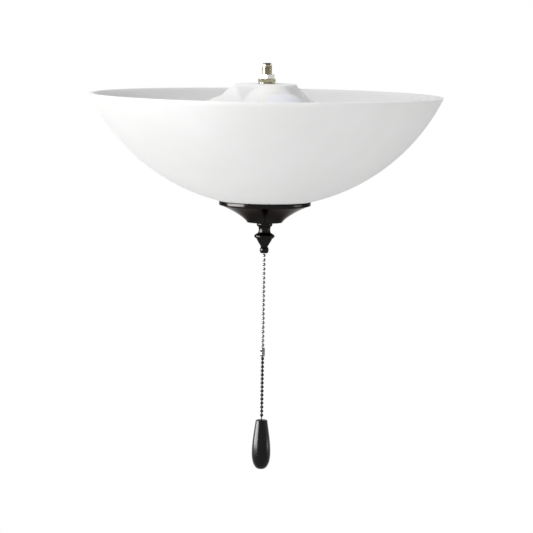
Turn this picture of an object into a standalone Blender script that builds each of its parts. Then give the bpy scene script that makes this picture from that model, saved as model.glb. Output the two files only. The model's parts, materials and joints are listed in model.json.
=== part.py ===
# Ceiling fan light kit: a hollow stem, a hooded fitter with three lamps, a glass bowl held from
# below by a cap and a turned finial, and a pull chain that runs down through the centre.
# Metres, +Z up. The origin is the centre of the upper locknut's top face, on the stem's axis.
# Run with: blender --background --python part.py

import math

import bmesh
import bpy
from mathutils import Matrix, Vector
from mathutils.geometry import interpolate_bezier

MM = 0.001
DEG = math.radians(1.0)

# Clearances between neighbouring pieces
SEAT_GAP = 0.3 * MM
SLIP_GAP = 0.4 * MM
CUT_OVERRUN = 2.0 * MM

# Driving sizes of the whole fitting
BOWL_RADIUS = 165.0 * MM
BOWL_DEPTH = 104.3 * MM
GLASS_WALL = 4.0 * MM
FITTER_ABOVE_RIM = 10.1 * MM
CHAIN_DROP = 88.2 * MM
LOWER_CHAIN_DROP = 60.8 * MM

# Stem and its nuts
NIPPLE_RADIUS = 5.0 * MM
NIPPLE_BORE_RADIUS = 3.5 * MM
NIPPLE_ABOVE_NUT = 8.9 * MM
NIPPLE_BELOW_NUT = 1.8 * MM
BUSHING_CAP = 1.2 * MM
BUSHING_WALL = 0.7 * MM
BUSHING_DEPTH = 6.0 * MM
NUT_FLATS = 14.3 * MM
UPPER_NUT_HEIGHT = 3.9 * MM
LOWER_NUT_HEIGHT = 3.3 * MM
INNER_NUT_HEIGHT = 4.0 * MM
NUT_CHAMFER = 0.8 * MM
NUT_CHAMFER_ANGLE = 30.0 * DEG
STAR_WASHER_RADIUS = 7.9 * MM
STAR_WASHER_THICKNESS = 0.7 * MM

# Fitter housing
FITTER_WALL = 1.0 * MM
FITTER_CORE_RADIUS = 28.5 * MM
FITTER_SHOULDER = 2.0 * MM
FITTER_HEIGHT = 31.0 * MM
HOOD_REACH = 31.3 * MM
HOOD_HALF_WIDTH = 27.0 * MM
HOOD_OFFSET = 18.0 * MM
HOOD_DROP = 30.1 * MM

# Spider that carries the lampholders
SPIDER_THICKNESS = 1.2 * MM
SPIDER_RADIUS = 13.0 * MM
SPIDER_FLAT_REACH = 20.0 * MM
ARM_THICKNESS = 1.0 * MM
ARM_WIDTH = 13.0 * MM
ARM_RISE = 10.0 * MM
ARM_TAIL = 7.5 * MM

# Lamps: azimuth from the front (-Y) towards +X, and droop under the horizontal
LAMP_AZIMUTHS = (10.0 * DEG, 130.0 * DEG, 250.0 * DEG)
LAMP_DROOPS = (6.0 * DEG, 21.0 * DEG, 21.0 * DEG)
LAMP_START_RADIUS = 24.0 * MM
LAMP_START_DROP = 21.4 * MM
HOLDER_RADIUS = 16.5 * MM
HOLDER_LENGTH = 36.0 * MM
HOLDER_BACK_RADIUS = 12.5 * MM
HOLDER_BACK_LENGTH = 2.5 * MM
HOLDER_SHOULDER = 3.0 * MM
HOLDER_LIP = 1.2 * MM
HOLDER_FLOOR = 6.0 * MM
HOLDER_HOOD_CLEARANCE = 0.8 * MM
BASE_RADIUS = 13.0 * MM
BASE_LENGTH = 24.0 * MM
BASE_SHELL_LENGTH = 19.0 * MM
BASE_TIP_RADIUS = 4.4 * MM
BASE_TIP_HEIGHT = 1.4 * MM
BASE_THREAD_DEPTH = 0.5 * MM
BASE_THREADS = 3
SCREW_SHELL_WALL = 0.4 * MM
SCREW_SHELL_LENGTH = 23.0 * MM
CONTACT_RADIUS = 4.0 * MM
CONTACT_THICKNESS = 0.9 * MM
CONTACT_RISE = 1.0 * MM
BULB_RADIUS = 23.8 * MM
BULB_NECK_RADIUS = 12.4 * MM
BULB_CENTRE_FROM_TIP = 61.0 * MM
BULB_NECK_LENGTH = 5.0 * MM
BULB_FLARE_ANGLE = -40.0 * DEG

# Small screws: the lampholders' and the switch's
SCREW_RADIUS = 1.45 * MM
SCREW_HEAD_RADIUS = 2.7 * MM
SCREW_HEAD_HEIGHT = 1.7 * MM
HOLDER_SCREW_LENGTH = 5.0 * MM
SWITCH_SCREW_LENGTH = 2.6 * MM
SWITCH_SCREW_DROP = 4.35 * MM

# Yoke that hangs the centre rod round the switch
YOKE_THICKNESS = 1.2 * MM
YOKE_WIDTH = 12.0 * MM
YOKE_INNER_HALF_WIDTH = 13.9 * MM
YOKE_INNER_HEIGHT = 37.5 * MM
YOKE_AZIMUTH = 70.0 * DEG

# Centre rod, its nuts, and the washers over the glass
ROD_RADIUS = 4.0 * MM
ROD_BORE_RADIUS = 2.5 * MM
ROD_ABOVE_PLATE = 4.8 * MM
ROD_INTO_FINIAL = 10.0 * MM
ROD_NUT_FLATS = 12.0 * MM
ROD_NUT_HEIGHT = 3.6 * MM
STEEL_WASHER_RADIUS = 15.0 * MM
STEEL_WASHER_THICKNESS = 1.5 * MM
RUBBER_WASHER_RADIUS = 17.0 * MM
RUBBER_WASHER_THICKNESS = 2.5 * MM
GLASS_HOLE_RADIUS = 6.5 * MM

# Bowl cap
CAP_RADIUS = 42.9 * MM
CAP_HEIGHT = 19.7 * MM
CAP_WALL = 0.9 * MM
CAP_LIP_HEIGHT = 3.7 * MM
CAP_FOOT_RADIUS = 16.8 * MM

# Finial
FINIAL_LENGTH = 28.4 * MM
FINIAL_RADIUS = 9.55 * MM
FINIAL_BORE_RADIUS = 2.0 * MM
FINIAL_THREAD_DEPTH = 11.0 * MM

# Ball chain: a bead, its pitch and the wire between two beads
BEAD_RADIUS = 1.6 * MM
WIRE_RADIUS = 0.5 * MM
UPPER_PITCH = 4.2 * MM
LOWER_PITCH = 3.8 * MM
LAST_LINK = 7.9 * MM
EXIT_BEAD_DROP = 2.3 * MM
COUPLING_RADIUS = 2.3 * MM
COUPLING_WALL = 0.35 * MM
COUPLING_MOUTH_RADIUS = 1.45 * MM
COUPLING_BEAD_SPACING = 4.8 * MM
COUPLING_LENGTH = 8.2 * MM

# Pull pendant
PULL_LENGTH = 46.5 * MM
PULL_RADIUS = 8.75 * MM
PULL_SHOULDER_RADIUS = 5.6 * MM
PULL_TIP_RADIUS = 1.7 * MM
PULL_POCKET_RADIUS = 2.3 * MM
PULL_POCKET_DEPTH = 7.0 * MM
PULL_BEAD_DEPTH = 3.6 * MM
RETAINER_RADIUS = 3.0 * MM
RETAINER_HEIGHT = 1.4 * MM
RETAINER_BORE_RADIUS = 1.3 * MM

# Pull switch
SWITCH_HEIGHT = 17.2 * MM
SWITCH_DEPTH = 14.0 * MM
SWITCH_WALL = 1.3 * MM
SWITCH_BELOW_NIPPLE = 4.4 * MM
SWITCH_LID_THICKNESS = 1.2 * MM
SWITCH_SIDE_REACH = 6.1 * MM
DRUM_DROP = 7.2 * MM
DRUM_PITCH_RADIUS = 4.2 * MM
DRUM_FLANGE_RADIUS = 5.4 * MM
DRUM_HALF_WIDTH = 3.0 * MM
DRUM_FLANGE_THICKNESS = 0.9 * MM
PIN_RADIUS = 1.2 * MM
SPRING_WIRE_RADIUS = 0.3 * MM
SPRING_RADIUS = 2.6 * MM
SPRING_PITCH = 0.8 * MM
SPRING_TURNS = 2
NOZZLE_RADIUS = 2.9 * MM
NOZZLE_BORE_RADIUS = 2.0 * MM
NOZZLE_FLANGE_RADIUS = 4.2 * MM
NOZZLE_FLANGE_THICKNESS = 0.8 * MM
NOZZLE_MOUTH_RADIUS = 3.5 * MM

# Leads from the lampholders' backs into the stem's lower end
LEAD_RADIUS = 0.9 * MM
LEAD_SPREAD = 9.0 * MM
LEAD_DEPTH = 3.0 * MM
LEAD_BACK_REACH = 3.5 * MM
LEAD_TURN_RADIUS = 14.0 * MM
LEAD_RING_RADIUS = 2.2 * MM
LEAD_BELOW_NIPPLE = 2.1 * MM
LEAD_ABOVE_NIPPLE_END = 9.0 * MM

# Heights worked out from the sizes above, from the top down
UPPER_NUT_TOP = 0.0
LOWER_NUT_TOP = -UPPER_NUT_HEIGHT - SEAT_GAP
STAR_WASHER_TOP = LOWER_NUT_TOP - LOWER_NUT_HEIGHT - SEAT_GAP
FITTER_TOP = STAR_WASHER_TOP - STAR_WASHER_THICKNESS - SEAT_GAP
RIM_HEIGHT = FITTER_TOP - FITTER_ABOVE_RIM
SPIDER_TOP = FITTER_TOP - FITTER_WALL - SEAT_GAP
YOKE_TOP = SPIDER_TOP - SPIDER_THICKNESS - SEAT_GAP
INNER_NUT_TOP = YOKE_TOP - YOKE_THICKNESS - SEAT_GAP
NIPPLE_BOTTOM = INNER_NUT_TOP - INNER_NUT_HEIGHT - NIPPLE_BELOW_NUT
SWITCH_TOP = NIPPLE_BOTTOM - SWITCH_BELOW_NIPPLE
SWITCH_BOTTOM = SWITCH_TOP - SWITCH_HEIGHT
DRUM_HEIGHT = SWITCH_TOP - DRUM_DROP
YOKE_BOTTOM = YOKE_TOP - YOKE_INNER_HEIGHT - 2 * YOKE_THICKNESS
ROD_TOP = YOKE_BOTTOM + YOKE_THICKNESS + ROD_ABOVE_PLATE
LAMP_START_HEIGHT = FITTER_TOP - LAMP_START_DROP

BOWL_CURVE_RADIUS = (BOWL_RADIUS**2 + BOWL_DEPTH**2) / (2 * BOWL_DEPTH)
BOWL_CURVE_HEIGHT = RIM_HEIGHT + BOWL_CURVE_RADIUS - BOWL_DEPTH


def bowl_underside(radius):
    """Height of the glass bowl's outer face at this distance from the axis."""
    return BOWL_CURVE_HEIGHT - math.sqrt(BOWL_CURVE_RADIUS**2 - radius**2)


def bowl_inside(radius):
    """Height of the glass bowl's inner face at this distance from the axis."""
    inner_curve_radius = BOWL_CURVE_RADIUS - GLASS_WALL
    return BOWL_CURVE_HEIGHT - math.sqrt(inner_curve_radius**2 - radius**2)


CAP_TOP = bowl_underside(CAP_RADIUS) - SEAT_GAP
CAP_BOTTOM = CAP_TOP - CAP_HEIGHT
FINIAL_TOP = CAP_BOTTOM - SEAT_GAP
FINIAL_BOTTOM = FINIAL_TOP - FINIAL_LENGTH
ROD_BOTTOM = FINIAL_TOP - ROD_INTO_FINIAL
RUBBER_WASHER_BOTTOM = bowl_inside(RUBBER_WASHER_RADIUS) + SEAT_GAP
STEEL_WASHER_BOTTOM = RUBBER_WASHER_BOTTOM + RUBBER_WASHER_THICKNESS + SEAT_GAP
CHECK_NUT_TOP = STEEL_WASHER_BOTTOM + STEEL_WASHER_THICKNESS + SEAT_GAP + ROD_NUT_HEIGHT

EXIT_BEAD_HEIGHT = FINIAL_BOTTOM - EXIT_BEAD_DROP
UPPER_BEADS = round(CHAIN_DROP / UPPER_PITCH)
COUPLING_UPPER_BEAD = EXIT_BEAD_HEIGHT - UPPER_BEADS * UPPER_PITCH
COUPLING_LOWER_BEAD = COUPLING_UPPER_BEAD - COUPLING_BEAD_SPACING
LOWER_BEADS = round(LOWER_CHAIN_DROP / LOWER_PITCH)
PULL_BEAD_HEIGHT = COUPLING_LOWER_BEAD - (LOWER_BEADS - 1) * LOWER_PITCH - LAST_LINK
INNER_BEADS = round((DRUM_HEIGHT - EXIT_BEAD_HEIGHT) / UPPER_PITCH)
CHAIN_TOP = EXIT_BEAD_HEIGHT + INNER_BEADS * UPPER_PITCH

# Number of sides of turned pieces
BOWL_SIDES = 48
CAP_SIDES = 32
CORE_SIDES = 40
ROUND_SIDES = 20
BASE_SIDES = 16
SMALL_SIDES = 12
BEAD_SIDES = 8
NUT_SIDES = 6
HIDDEN_BEAD_SIDES = 6
HOOD_STEPS = 12
COIL_STEPS = 10

# Number of steps of round stretches of an outline
BOWL_STEPS = 8
GLOBE_STEPS = 7
PULL_STEPS = 7
SKIRT_STEPS = 6
NECK_STEPS = 4
BEAD_STEPS = 3
SHOULDER_STEPS = 3
BEND_STEPS = 2
HIDDEN_BEAD_STEPS = 2

# Edges between faces that meet at more than this are kept sharp
SHARP_ANGLE = 35.0 * DEG

# Handles of the cap's skirt: shares of its spread inwards and of its drop
CAP_WAIST_SHARES = (0.57, 0.26)
CAP_FOOT_SHARES = (0.18, 0.60)

# The finial's side: shares of its largest radius and of its length, from the top down
FINIAL_SIDE_SHARES = (
    (0.75, 0.0),
    (0.77, 0.03),
    (0.73, 0.10),
    (0.62, 0.13),
    (0.575, 0.20),
    (0.585, 0.28),
    (0.66, 0.335),
    (0.94, 0.405),
    (1.0, 0.437),
    (0.94, 0.475),
    (0.76, 0.535),
    (0.36, 0.77),
    (0.32, 0.80),
    (0.42, 0.85),
    (0.44, 0.905),
    (0.40, 0.96),
    (0.32, 1.0),
)

# The pull's side: shares of its length and of its radii
PULL_WIDEST_SHARE = 0.68
PULL_UPPER_HANDLE_SHARES = (0.45, 0.27)
PULL_LOWER_HANDLE_SHARE = 0.24
PULL_NOSE_HANDLE_SHARE = 0.20
PULL_NOSE_WIDTH_SHARE = 0.62


def new_collection(name):
    made = bpy.data.collections.new(name)
    bpy.context.scene.collection.children.link(made)
    return made


for old in list(bpy.data.objects):
    bpy.data.objects.remove(old, do_unlink=True)
PARTS = new_collection("ceiling_fan_light_kit")
CUTTERS = new_collection("cutters")


def material(name, colour, roughness, metallic=0.0):
    made = bpy.data.materials.new(name)
    made.use_nodes = True
    shader = made.node_tree.nodes["Principled BSDF"]
    shader.inputs["Base Color"].default_value = (*colour, 1.0)
    shader.inputs["Roughness"].default_value = roughness
    shader.inputs["Metallic"].default_value = metallic
    made.diffuse_color = (*colour, 1.0)
    return made


BRASS = material("brass_plate", (0.72, 0.60, 0.36), 0.25, 1.0)
ZINC = material("bright_zinc", (0.82, 0.82, 0.80), 0.25, 1.0)
STEEL = material("plated_steel", (0.62, 0.62, 0.62), 0.35, 1.0)
WHITE_PAINT = material("white_enamel", (0.90, 0.90, 0.89), 0.30)
BLACK_PLASTIC = material("black_plastic", (0.02, 0.02, 0.02), 0.45)
PORCELAIN = material("white_porcelain", (0.90, 0.895, 0.88), 0.15)
OPAL_GLASS = material("opal_glass", (0.93, 0.93, 0.92), 0.45)
BULB_GLASS = material("frosted_bulb", (0.92, 0.94, 0.97), 0.40)
ALUMINIUM = material("bulb_base_aluminium", (0.80, 0.80, 0.80), 0.30, 1.0)
DARK_BRONZE = material("dark_bronze", (0.035, 0.030, 0.028), 0.30, 0.6)
NICKEL = material("nickel", (0.66, 0.64, 0.60), 0.22, 1.0)
BLACK_CHAIN = material("black_chain", (0.03, 0.03, 0.03), 0.30, 0.8)
BLACK_LACQUER = material("black_lacquer", (0.012, 0.012, 0.014), 0.12)
RUBBER = material("rubber", (0.05, 0.05, 0.05), 0.80)
BLACK_WIRE = material("black_lead", (0.03, 0.03, 0.03), 0.50)
WHITE_WIRE = material("white_lead", (0.85, 0.85, 0.83), 0.50)


def place(item, finish, home=None, location=(0.0, 0.0, 0.0)):
    """Links an object to the parts, gives it its finish and hangs it from its empty."""
    PARTS.objects.link(item)
    item.data.materials.clear()
    item.data.materials.append(finish)
    item.parent = home
    item.location = location
    return item


def empty(name, location=(0.0, 0.0, 0.0), home=None):
    made = bpy.data.objects.new(name, None)
    made.empty_display_size = BEAD_RADIUS
    made.location = location
    made.parent = home
    PARTS.objects.link(made)
    return made


def cutter(item, home=None, location=(0.0, 0.0, 0.0)):
    CUTTERS.objects.link(item)
    item.hide_render = True
    item.display_type = "WIRE"
    item.parent = home
    item.location = location
    return item


def profile_mesh(name, outline, closed=True):
    """An outline of (radius, height) points as a chain of edges in the XZ plane."""
    mesh = bpy.data.meshes.new(name)
    points = [(radius, 0.0, height) for radius, height in outline]
    edges = [(i, i + 1) for i in range(len(points) - 1)]
    if closed:
        edges.append((len(points) - 1, 0))
    mesh.from_pydata(points, edges, [])
    return mesh


def screw(item, sides):
    turn = item.modifiers.new("turn", "SCREW")
    turn.axis = "Z"
    turn.angle = math.tau
    turn.steps = sides
    turn.render_steps = sides
    turn.use_merge_vertices = True
    turn.merge_threshold = SEAT_GAP / 30
    turn.use_smooth_shade = True
    return item


def ring(name, outline, sides=ROUND_SIDES):
    """A turned piece with a hole: its outline runs down the outside and back up the bore."""
    return screw(bpy.data.objects.new(name, profile_mesh(name, outline)), sides)


def solid(name, outline, sides=ROUND_SIDES):
    """A turned piece with no hole: its outline runs from the axis down the outside to the axis."""
    return screw(bpy.data.objects.new(name, profile_mesh(name, outline, False)), sides)


def boolean(item, other, operation="DIFFERENCE"):
    cut = item.modifiers.new(operation.lower(), "BOOLEAN")
    cut.operation = operation
    cut.solver = "EXACT"
    cut.object = other
    return item


def bmesh_object(name, build):
    """An object whose mesh is filled by the given function of a bmesh."""
    mesh = bpy.data.meshes.new(name)
    shape = bmesh.new()
    build(shape)
    shape.to_mesh(mesh)
    shape.free()
    return bpy.data.objects.new(name, mesh)


def cylinder(name, radius, bottom, top, sides=ROUND_SIDES):
    def build(shape):
        middle = Matrix.Translation((0.0, 0.0, (bottom + top) / 2))
        bmesh.ops.create_cone(
            shape,
            cap_ends=True,
            segments=sides,
            radius1=radius,
            radius2=radius,
            depth=top - bottom,
            matrix=middle,
        )

    return bmesh_object(name, build)


def box(name, low, high):
    def build(shape):
        size = Vector(high) - Vector(low)
        middle = (Vector(high) + Vector(low)) / 2
        matrix = Matrix.Translation(middle) @ Matrix.Diagonal((*size, 1.0))
        bmesh.ops.create_cube(shape, size=1.0, matrix=matrix)

    return bmesh_object(name, build)


def ellipsoid(name, radii, centre):
    def build(shape):
        matrix = Matrix.Translation(centre) @ Matrix.Diagonal((*radii, 1.0))
        bmesh.ops.create_uvsphere(
            shape,
            u_segments=ROUND_SIDES,
            v_segments=HOOD_STEPS,
            radius=1.0,
            matrix=matrix,
        )

    return bmesh_object(name, build)


def bezier(start, start_handle, end_handle, end, steps):
    """Points of one Bezier stretch of an outline, both ends included."""
    knots = [Vector((*point, 0.0)) for point in (start, start_handle, end_handle, end)]
    return [(point.x, point.y) for point in interpolate_bezier(*knots, steps)]


def arc(centre, radius, first, last, steps):
    """Points along an arc of an outline, from the first angle to the last, both included."""
    angles = [first + (last - first) * i / steps for i in range(steps + 1)]
    return [(centre[0] + radius * math.cos(a), centre[1] + radius * math.sin(a)) for a in angles]


def washer_outline(outer, inner, bottom, top):
    return [(outer, top), (outer, bottom), (inner, bottom), (inner, top)]


def hex_nut(name, flats, hole_radius, bottom, height, finish):
    """A chamfered hexagon nut: a turned, chamfered ring kept only where a hexagon is."""
    corner = flats / math.sqrt(3.0)
    top = bottom + height
    chamfer_rise = NUT_CHAMFER * math.tan(NUT_CHAMFER_ANGLE)
    outline = [
        (corner - NUT_CHAMFER, top),
        (corner, top - chamfer_rise),
        (corner, bottom + chamfer_rise),
        (corner - NUT_CHAMFER, bottom),
        (hole_radius, bottom),
        (hole_radius, top),
    ]
    nut = place(ring(name, outline, SMALL_SIDES), finish)
    prism = cylinder(name + "_hexagon", corner, bottom - CUT_OVERRUN, top + CUT_OVERRUN, NUT_SIDES)
    return boolean(nut, cutter(prism), "INTERSECT")


def ribbon(name, path, width, thickness, closed=False):
    """A bent strip: a ribbon of quads along a path in the XZ plane, made solid."""
    mesh = bpy.data.meshes.new(name)
    half = width / 2
    points = [(x, side, z) for x, z in path for side in (-half, half)]
    count = len(path)
    last = count if closed else count - 1
    faces = []
    for i in range(last):
        j = (i + 1) % count
        faces.append((2 * i, 2 * j, 2 * j + 1, 2 * i + 1))
    mesh.from_pydata(points, [], faces)
    item = bpy.data.objects.new(name, mesh)
    thicken = item.modifiers.new("thicken", "SOLIDIFY")
    thicken.thickness = thickness
    thicken.offset = 0.0
    thicken.use_even_offset = True
    return item


def tube_curve(name, points, radius):
    """A wire or lead: a poly curve with round section and closed ends."""
    curve = bpy.data.curves.new(name, "CURVE")
    curve.dimensions = "3D"
    curve.bevel_depth = radius
    curve.bevel_resolution = 1
    curve.use_fill_caps = True
    spline = curve.splines.new("POLY")
    spline.points.add(len(points) - 1)
    for slot, point in zip(spline.points, points):
        slot.co = (*point, 1.0)
    return bpy.data.objects.new(name, curve)


def lathe_chain(name, first, count, pitch, link_above, link_below, hidden=False):
    """A run of beads on a wire, hanging down: one turned solid, a bead at each pitch.

    first is the height of the top bead's centre. The links above and below are the distances
    to the beads of the neighbouring pieces: the wire stops a seat gap from such a bead. With
    a link of 0 the run ends at its own bead.
    """
    steps = HIDDEN_BEAD_STEPS if hidden else BEAD_STEPS
    wire_reach = math.sqrt(BEAD_RADIUS**2 - WIRE_RADIUS**2)
    wire_angle = math.atan2(WIRE_RADIUS, wire_reach)
    top_angle = math.pi / 2 - wire_angle
    last = first - (count - 1) * pitch
    if link_above:
        wire_top = first + link_above - BEAD_RADIUS - SEAT_GAP
        outline = [(0.0, wire_top), (WIRE_RADIUS, wire_top)]
    else:
        outline = [(0.0, first + BEAD_RADIUS)]
    for i in range(count):
        bead = arc((0.0, first - i * pitch), BEAD_RADIUS, top_angle, -top_angle, steps)
        if i == 0 and not link_above:
            bead = bead[1:]
        if i == count - 1 and not link_below:
            bead = bead[:-1]
        outline += bead
    if link_below:
        wire_foot = last - link_below + BEAD_RADIUS + SEAT_GAP
        outline += [(WIRE_RADIUS, wire_foot), (0.0, wire_foot)]
    else:
        outline.append((0.0, last - BEAD_RADIUS))
    return solid(name, outline, HIDDEN_BEAD_SIDES if hidden else BEAD_SIDES)


def stem():
    """The hollow stem, its plastic mouth, its two nuts and the washer on the fitter."""
    top = UPPER_NUT_TOP + NIPPLE_ABOVE_NUT
    hole = NIPPLE_RADIUS + SEAT_GAP
    outline = washer_outline(NIPPLE_RADIUS, NIPPLE_BORE_RADIUS, NIPPLE_BOTTOM, top)
    place(ring("threaded_nipple", outline), BRASS)
    plug = NIPPLE_BORE_RADIUS - SEAT_GAP
    mouth = plug - BUSHING_WALL
    cap_bottom = top + SEAT_GAP
    cap_top = cap_bottom + BUSHING_CAP
    outline = [
        (mouth + BUSHING_WALL / 2, cap_top),
        (NIPPLE_RADIUS - BUSHING_WALL / 2, cap_top),
        (NIPPLE_RADIUS, cap_top - BUSHING_WALL / 2),
        (NIPPLE_RADIUS, cap_bottom),
        (plug, cap_bottom),
        (plug, top - BUSHING_DEPTH),
        (mouth, top - BUSHING_DEPTH),
        (mouth, cap_top - BUSHING_WALL / 2),
    ]
    place(ring("wire_bushing", outline), BLACK_PLASTIC)
    hex_nut("upper_locknut", NUT_FLATS, hole, UPPER_NUT_TOP - UPPER_NUT_HEIGHT, UPPER_NUT_HEIGHT, ZINC)
    hex_nut("lower_locknut", NUT_FLATS, hole, LOWER_NUT_TOP - LOWER_NUT_HEIGHT, LOWER_NUT_HEIGHT, BRASS)
    washer_bottom = STAR_WASHER_TOP - STAR_WASHER_THICKNESS
    outline = washer_outline(STAR_WASHER_RADIUS, hole, washer_bottom, STAR_WASHER_TOP)
    place(ring("star_washer", outline), BRASS)
    hex_nut("nipple_inner_nut", NUT_FLATS, hole, INNER_NUT_TOP - INNER_NUT_HEIGHT, INNER_NUT_HEIGHT, STEEL)


def lamp_frames():
    """An empty at the back of each lampholder, with its Z axis out along the lamp."""
    frames = []
    for number, (azimuth, droop) in enumerate(zip(LAMP_AZIMUTHS, LAMP_DROOPS), start=1):
        outward = Vector((math.sin(azimuth), -math.cos(azimuth), 0.0))
        start = outward * LAMP_START_RADIUS + Vector((0.0, 0.0, LAMP_START_HEIGHT))
        frame = empty(f"lamp_axis_{number}", start)
        frame.rotation_euler = (math.pi / 2 + droop, 0.0, azimuth)
        frames.append(frame)
    return frames


def hooded_solid(name, inset, add, extra_depth):
    """The fitter's outline as a solid: a round core with three hoods, drawn in by the inset."""
    top = FITTER_TOP - inset
    bottom = FITTER_TOP - FITTER_HEIGHT - extra_depth
    core_radius = FITTER_CORE_RADIUS - inset
    shoulder = arc(
        (core_radius - FITTER_SHOULDER, top - FITTER_SHOULDER),
        FITTER_SHOULDER,
        math.pi / 2,
        0.0,
        SHOULDER_STEPS,
    )
    outline = [(0.0, top), *shoulder, (core_radius, bottom), (0.0, bottom)]
    body = add(solid(name, outline, CORE_SIDES))
    for number, azimuth in enumerate(LAMP_AZIMUTHS, start=1):
        radii = (HOOD_HALF_WIDTH - inset, HOOD_REACH - inset, HOOD_REACH - inset)
        middle = (0.0, -HOOD_OFFSET, FITTER_TOP - HOOD_DROP)
        hood = cutter(ellipsoid(f"{name}_hood_{number}", radii, middle))
        hood.rotation_euler = (0.0, 0.0, azimuth)
        boolean(body, hood, "UNION")
    return body


def fitter_housing(frames):
    """The white stamping: hooded outside less hooded inside, open below, notched for the lamps."""
    reach = HOOD_OFFSET + HOOD_REACH + CUT_OVERRUN
    bottom = FITTER_TOP - FITTER_HEIGHT
    shell = hooded_solid("fitter_housing", 0.0, lambda item: place(item, WHITE_PAINT), CUT_OVERRUN)
    hollow = hooded_solid("fitter_hollow", FITTER_WALL, cutter, 2 * CUT_OVERRUN)
    high = (reach, reach, FITTER_TOP + reach)
    over = box("fitter_top_cutter", (-reach, -reach, FITTER_TOP), high)
    over_hollow = box("hollow_top_cutter", (-reach, -reach, FITTER_TOP - FITTER_WALL), high)
    under = box("fitter_bottom_cutter", (-reach, -reach, bottom - reach), (reach, reach, bottom))
    boolean(hollow, cutter(over_hollow))
    boolean(shell, hollow)
    boolean(shell, cutter(over))
    boolean(shell, cutter(under))
    hole = cylinder(
        "fitter_hole_cutter",
        NIPPLE_RADIUS + SEAT_GAP,
        FITTER_TOP - 2 * CUT_OVERRUN,
        FITTER_TOP + CUT_OVERRUN,
    )
    boolean(shell, cutter(hole))
    for number, frame in enumerate(frames, start=1):
        radius = HOLDER_RADIUS + HOLDER_HOOD_CLEARANCE
        notch = cylinder(f"hood_{number}_cutter", radius, HOLDER_SHOULDER, HOLDER_LENGTH + CUT_OVERRUN)
        boolean(shell, cutter(notch, frame))


def socket_spider():
    """A flat disc with three arms, each bent down behind its lampholder."""
    middle = SPIDER_TOP - SPIDER_THICKNESS / 2
    hole = NIPPLE_RADIUS + SEAT_GAP
    outline = washer_outline(SPIDER_RADIUS, hole, SPIDER_TOP - SPIDER_THICKNESS, SPIDER_TOP)
    spider = place(ring("socket_spider", outline), STEEL)
    back = -SEAT_GAP - ARM_THICKNESS / 2
    for number, (azimuth, droop) in enumerate(zip(LAMP_AZIMUTHS, LAMP_DROOPS), start=1):
        plate_radius = LAMP_START_RADIUS + back * math.cos(droop)
        plate_height = LAMP_START_HEIGHT - back * math.sin(droop)
        path = [(hole + ARM_THICKNESS, middle), (SPIDER_FLAT_REACH, middle)]
        for rise in (ARM_RISE, -ARM_TAIL):
            radius = plate_radius + rise * math.sin(droop)
            path.append((radius, plate_height + rise * math.cos(droop)))
        arm = cutter(ribbon(f"spider_arm_{number}", path, ARM_WIDTH, ARM_THICKNESS))
        arm.rotation_euler = (0.0, 0.0, azimuth - math.pi / 2)
        boolean(spider, arm, "UNION")
    return spider


def screw_outline(tip, head_top):
    """A round-headed screw: its shank from the tip back to the head, which lies lower."""
    return [
        (0.0, tip),
        (SCREW_RADIUS, tip),
        (SCREW_RADIUS, head_top),
        (SCREW_HEAD_RADIUS, head_top),
        (SCREW_HEAD_RADIUS, head_top - SCREW_HEAD_HEIGHT / 2),
        (SCREW_HEAD_RADIUS / 2, head_top - SCREW_HEAD_HEIGHT),
        (0.0, head_top - SCREW_HEAD_HEIGHT),
    ]


def lampholder(number, frame, spider):
    """A lampholder with its screw to the spider, its screw shell and its centre contact."""
    bore = BASE_RADIUS + SLIP_GAP + SCREW_SHELL_WALL + SLIP_GAP
    screw_hole = SCREW_RADIUS + SEAT_GAP
    floor = HOLDER_FLOOR + SCREW_RADIUS
    outline = [
        (0.0, floor),
        (bore, floor),
        (bore, HOLDER_LENGTH),
        (HOLDER_RADIUS - HOLDER_LIP, HOLDER_LENGTH),
        (HOLDER_RADIUS, HOLDER_LENGTH - HOLDER_LIP),
        (HOLDER_RADIUS, HOLDER_BACK_LENGTH + HOLDER_SHOULDER),
        (HOLDER_BACK_RADIUS, HOLDER_BACK_LENGTH),
        (HOLDER_BACK_RADIUS, 0.0),
        (screw_hole, 0.0),
        (screw_hole, HOLDER_SCREW_LENGTH),
        (0.0, HOLDER_SCREW_LENGTH),
    ]
    holder = place(solid(f"lampholder_{number}", outline, ROUND_SIDES), PORCELAIN, frame)

    head_top = -ARM_THICKNESS - 2 * SEAT_GAP
    arm_hole = cylinder(f"arm_hole_{number}", screw_hole, head_top, 0.0, SMALL_SIDES)
    boolean(spider, cutter(arm_hole, frame))
    outline = screw_outline(HOLDER_SCREW_LENGTH - SEAT_GAP, head_top)
    place(solid(f"holder_screw_{number}", outline, BEAD_SIDES), ZINC, frame)

    shell_outer = bore - SLIP_GAP
    shell_inner = shell_outer - SCREW_SHELL_WALL
    shell_bottom = floor + SEAT_GAP
    shell_top = shell_bottom + SCREW_SHELL_LENGTH
    shell_hole = CONTACT_RADIUS + CONTACT_THICKNESS
    outline = [
        (shell_outer, shell_top),
        (shell_outer, shell_bottom),
        (shell_hole, shell_bottom),
        (shell_hole, shell_bottom + SCREW_SHELL_WALL),
        (shell_inner, shell_bottom + SCREW_SHELL_WALL),
        (shell_inner, shell_top),
    ]
    place(ring(f"screw_shell_{number}", outline, BASE_SIDES), BRASS, frame)

    contact_top = shell_bottom + CONTACT_THICKNESS + CONTACT_RISE
    outline = [
        (0.0, contact_top),
        (CONTACT_RADIUS / 2, contact_top),
        (CONTACT_RADIUS, shell_bottom + CONTACT_THICKNESS),
        (CONTACT_RADIUS, shell_bottom),
        (0.0, shell_bottom),
    ]
    place(solid(f"centre_contact_{number}", outline, SMALL_SIDES), BRASS, frame)
    leads(number, frame, holder)
    return contact_top


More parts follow.
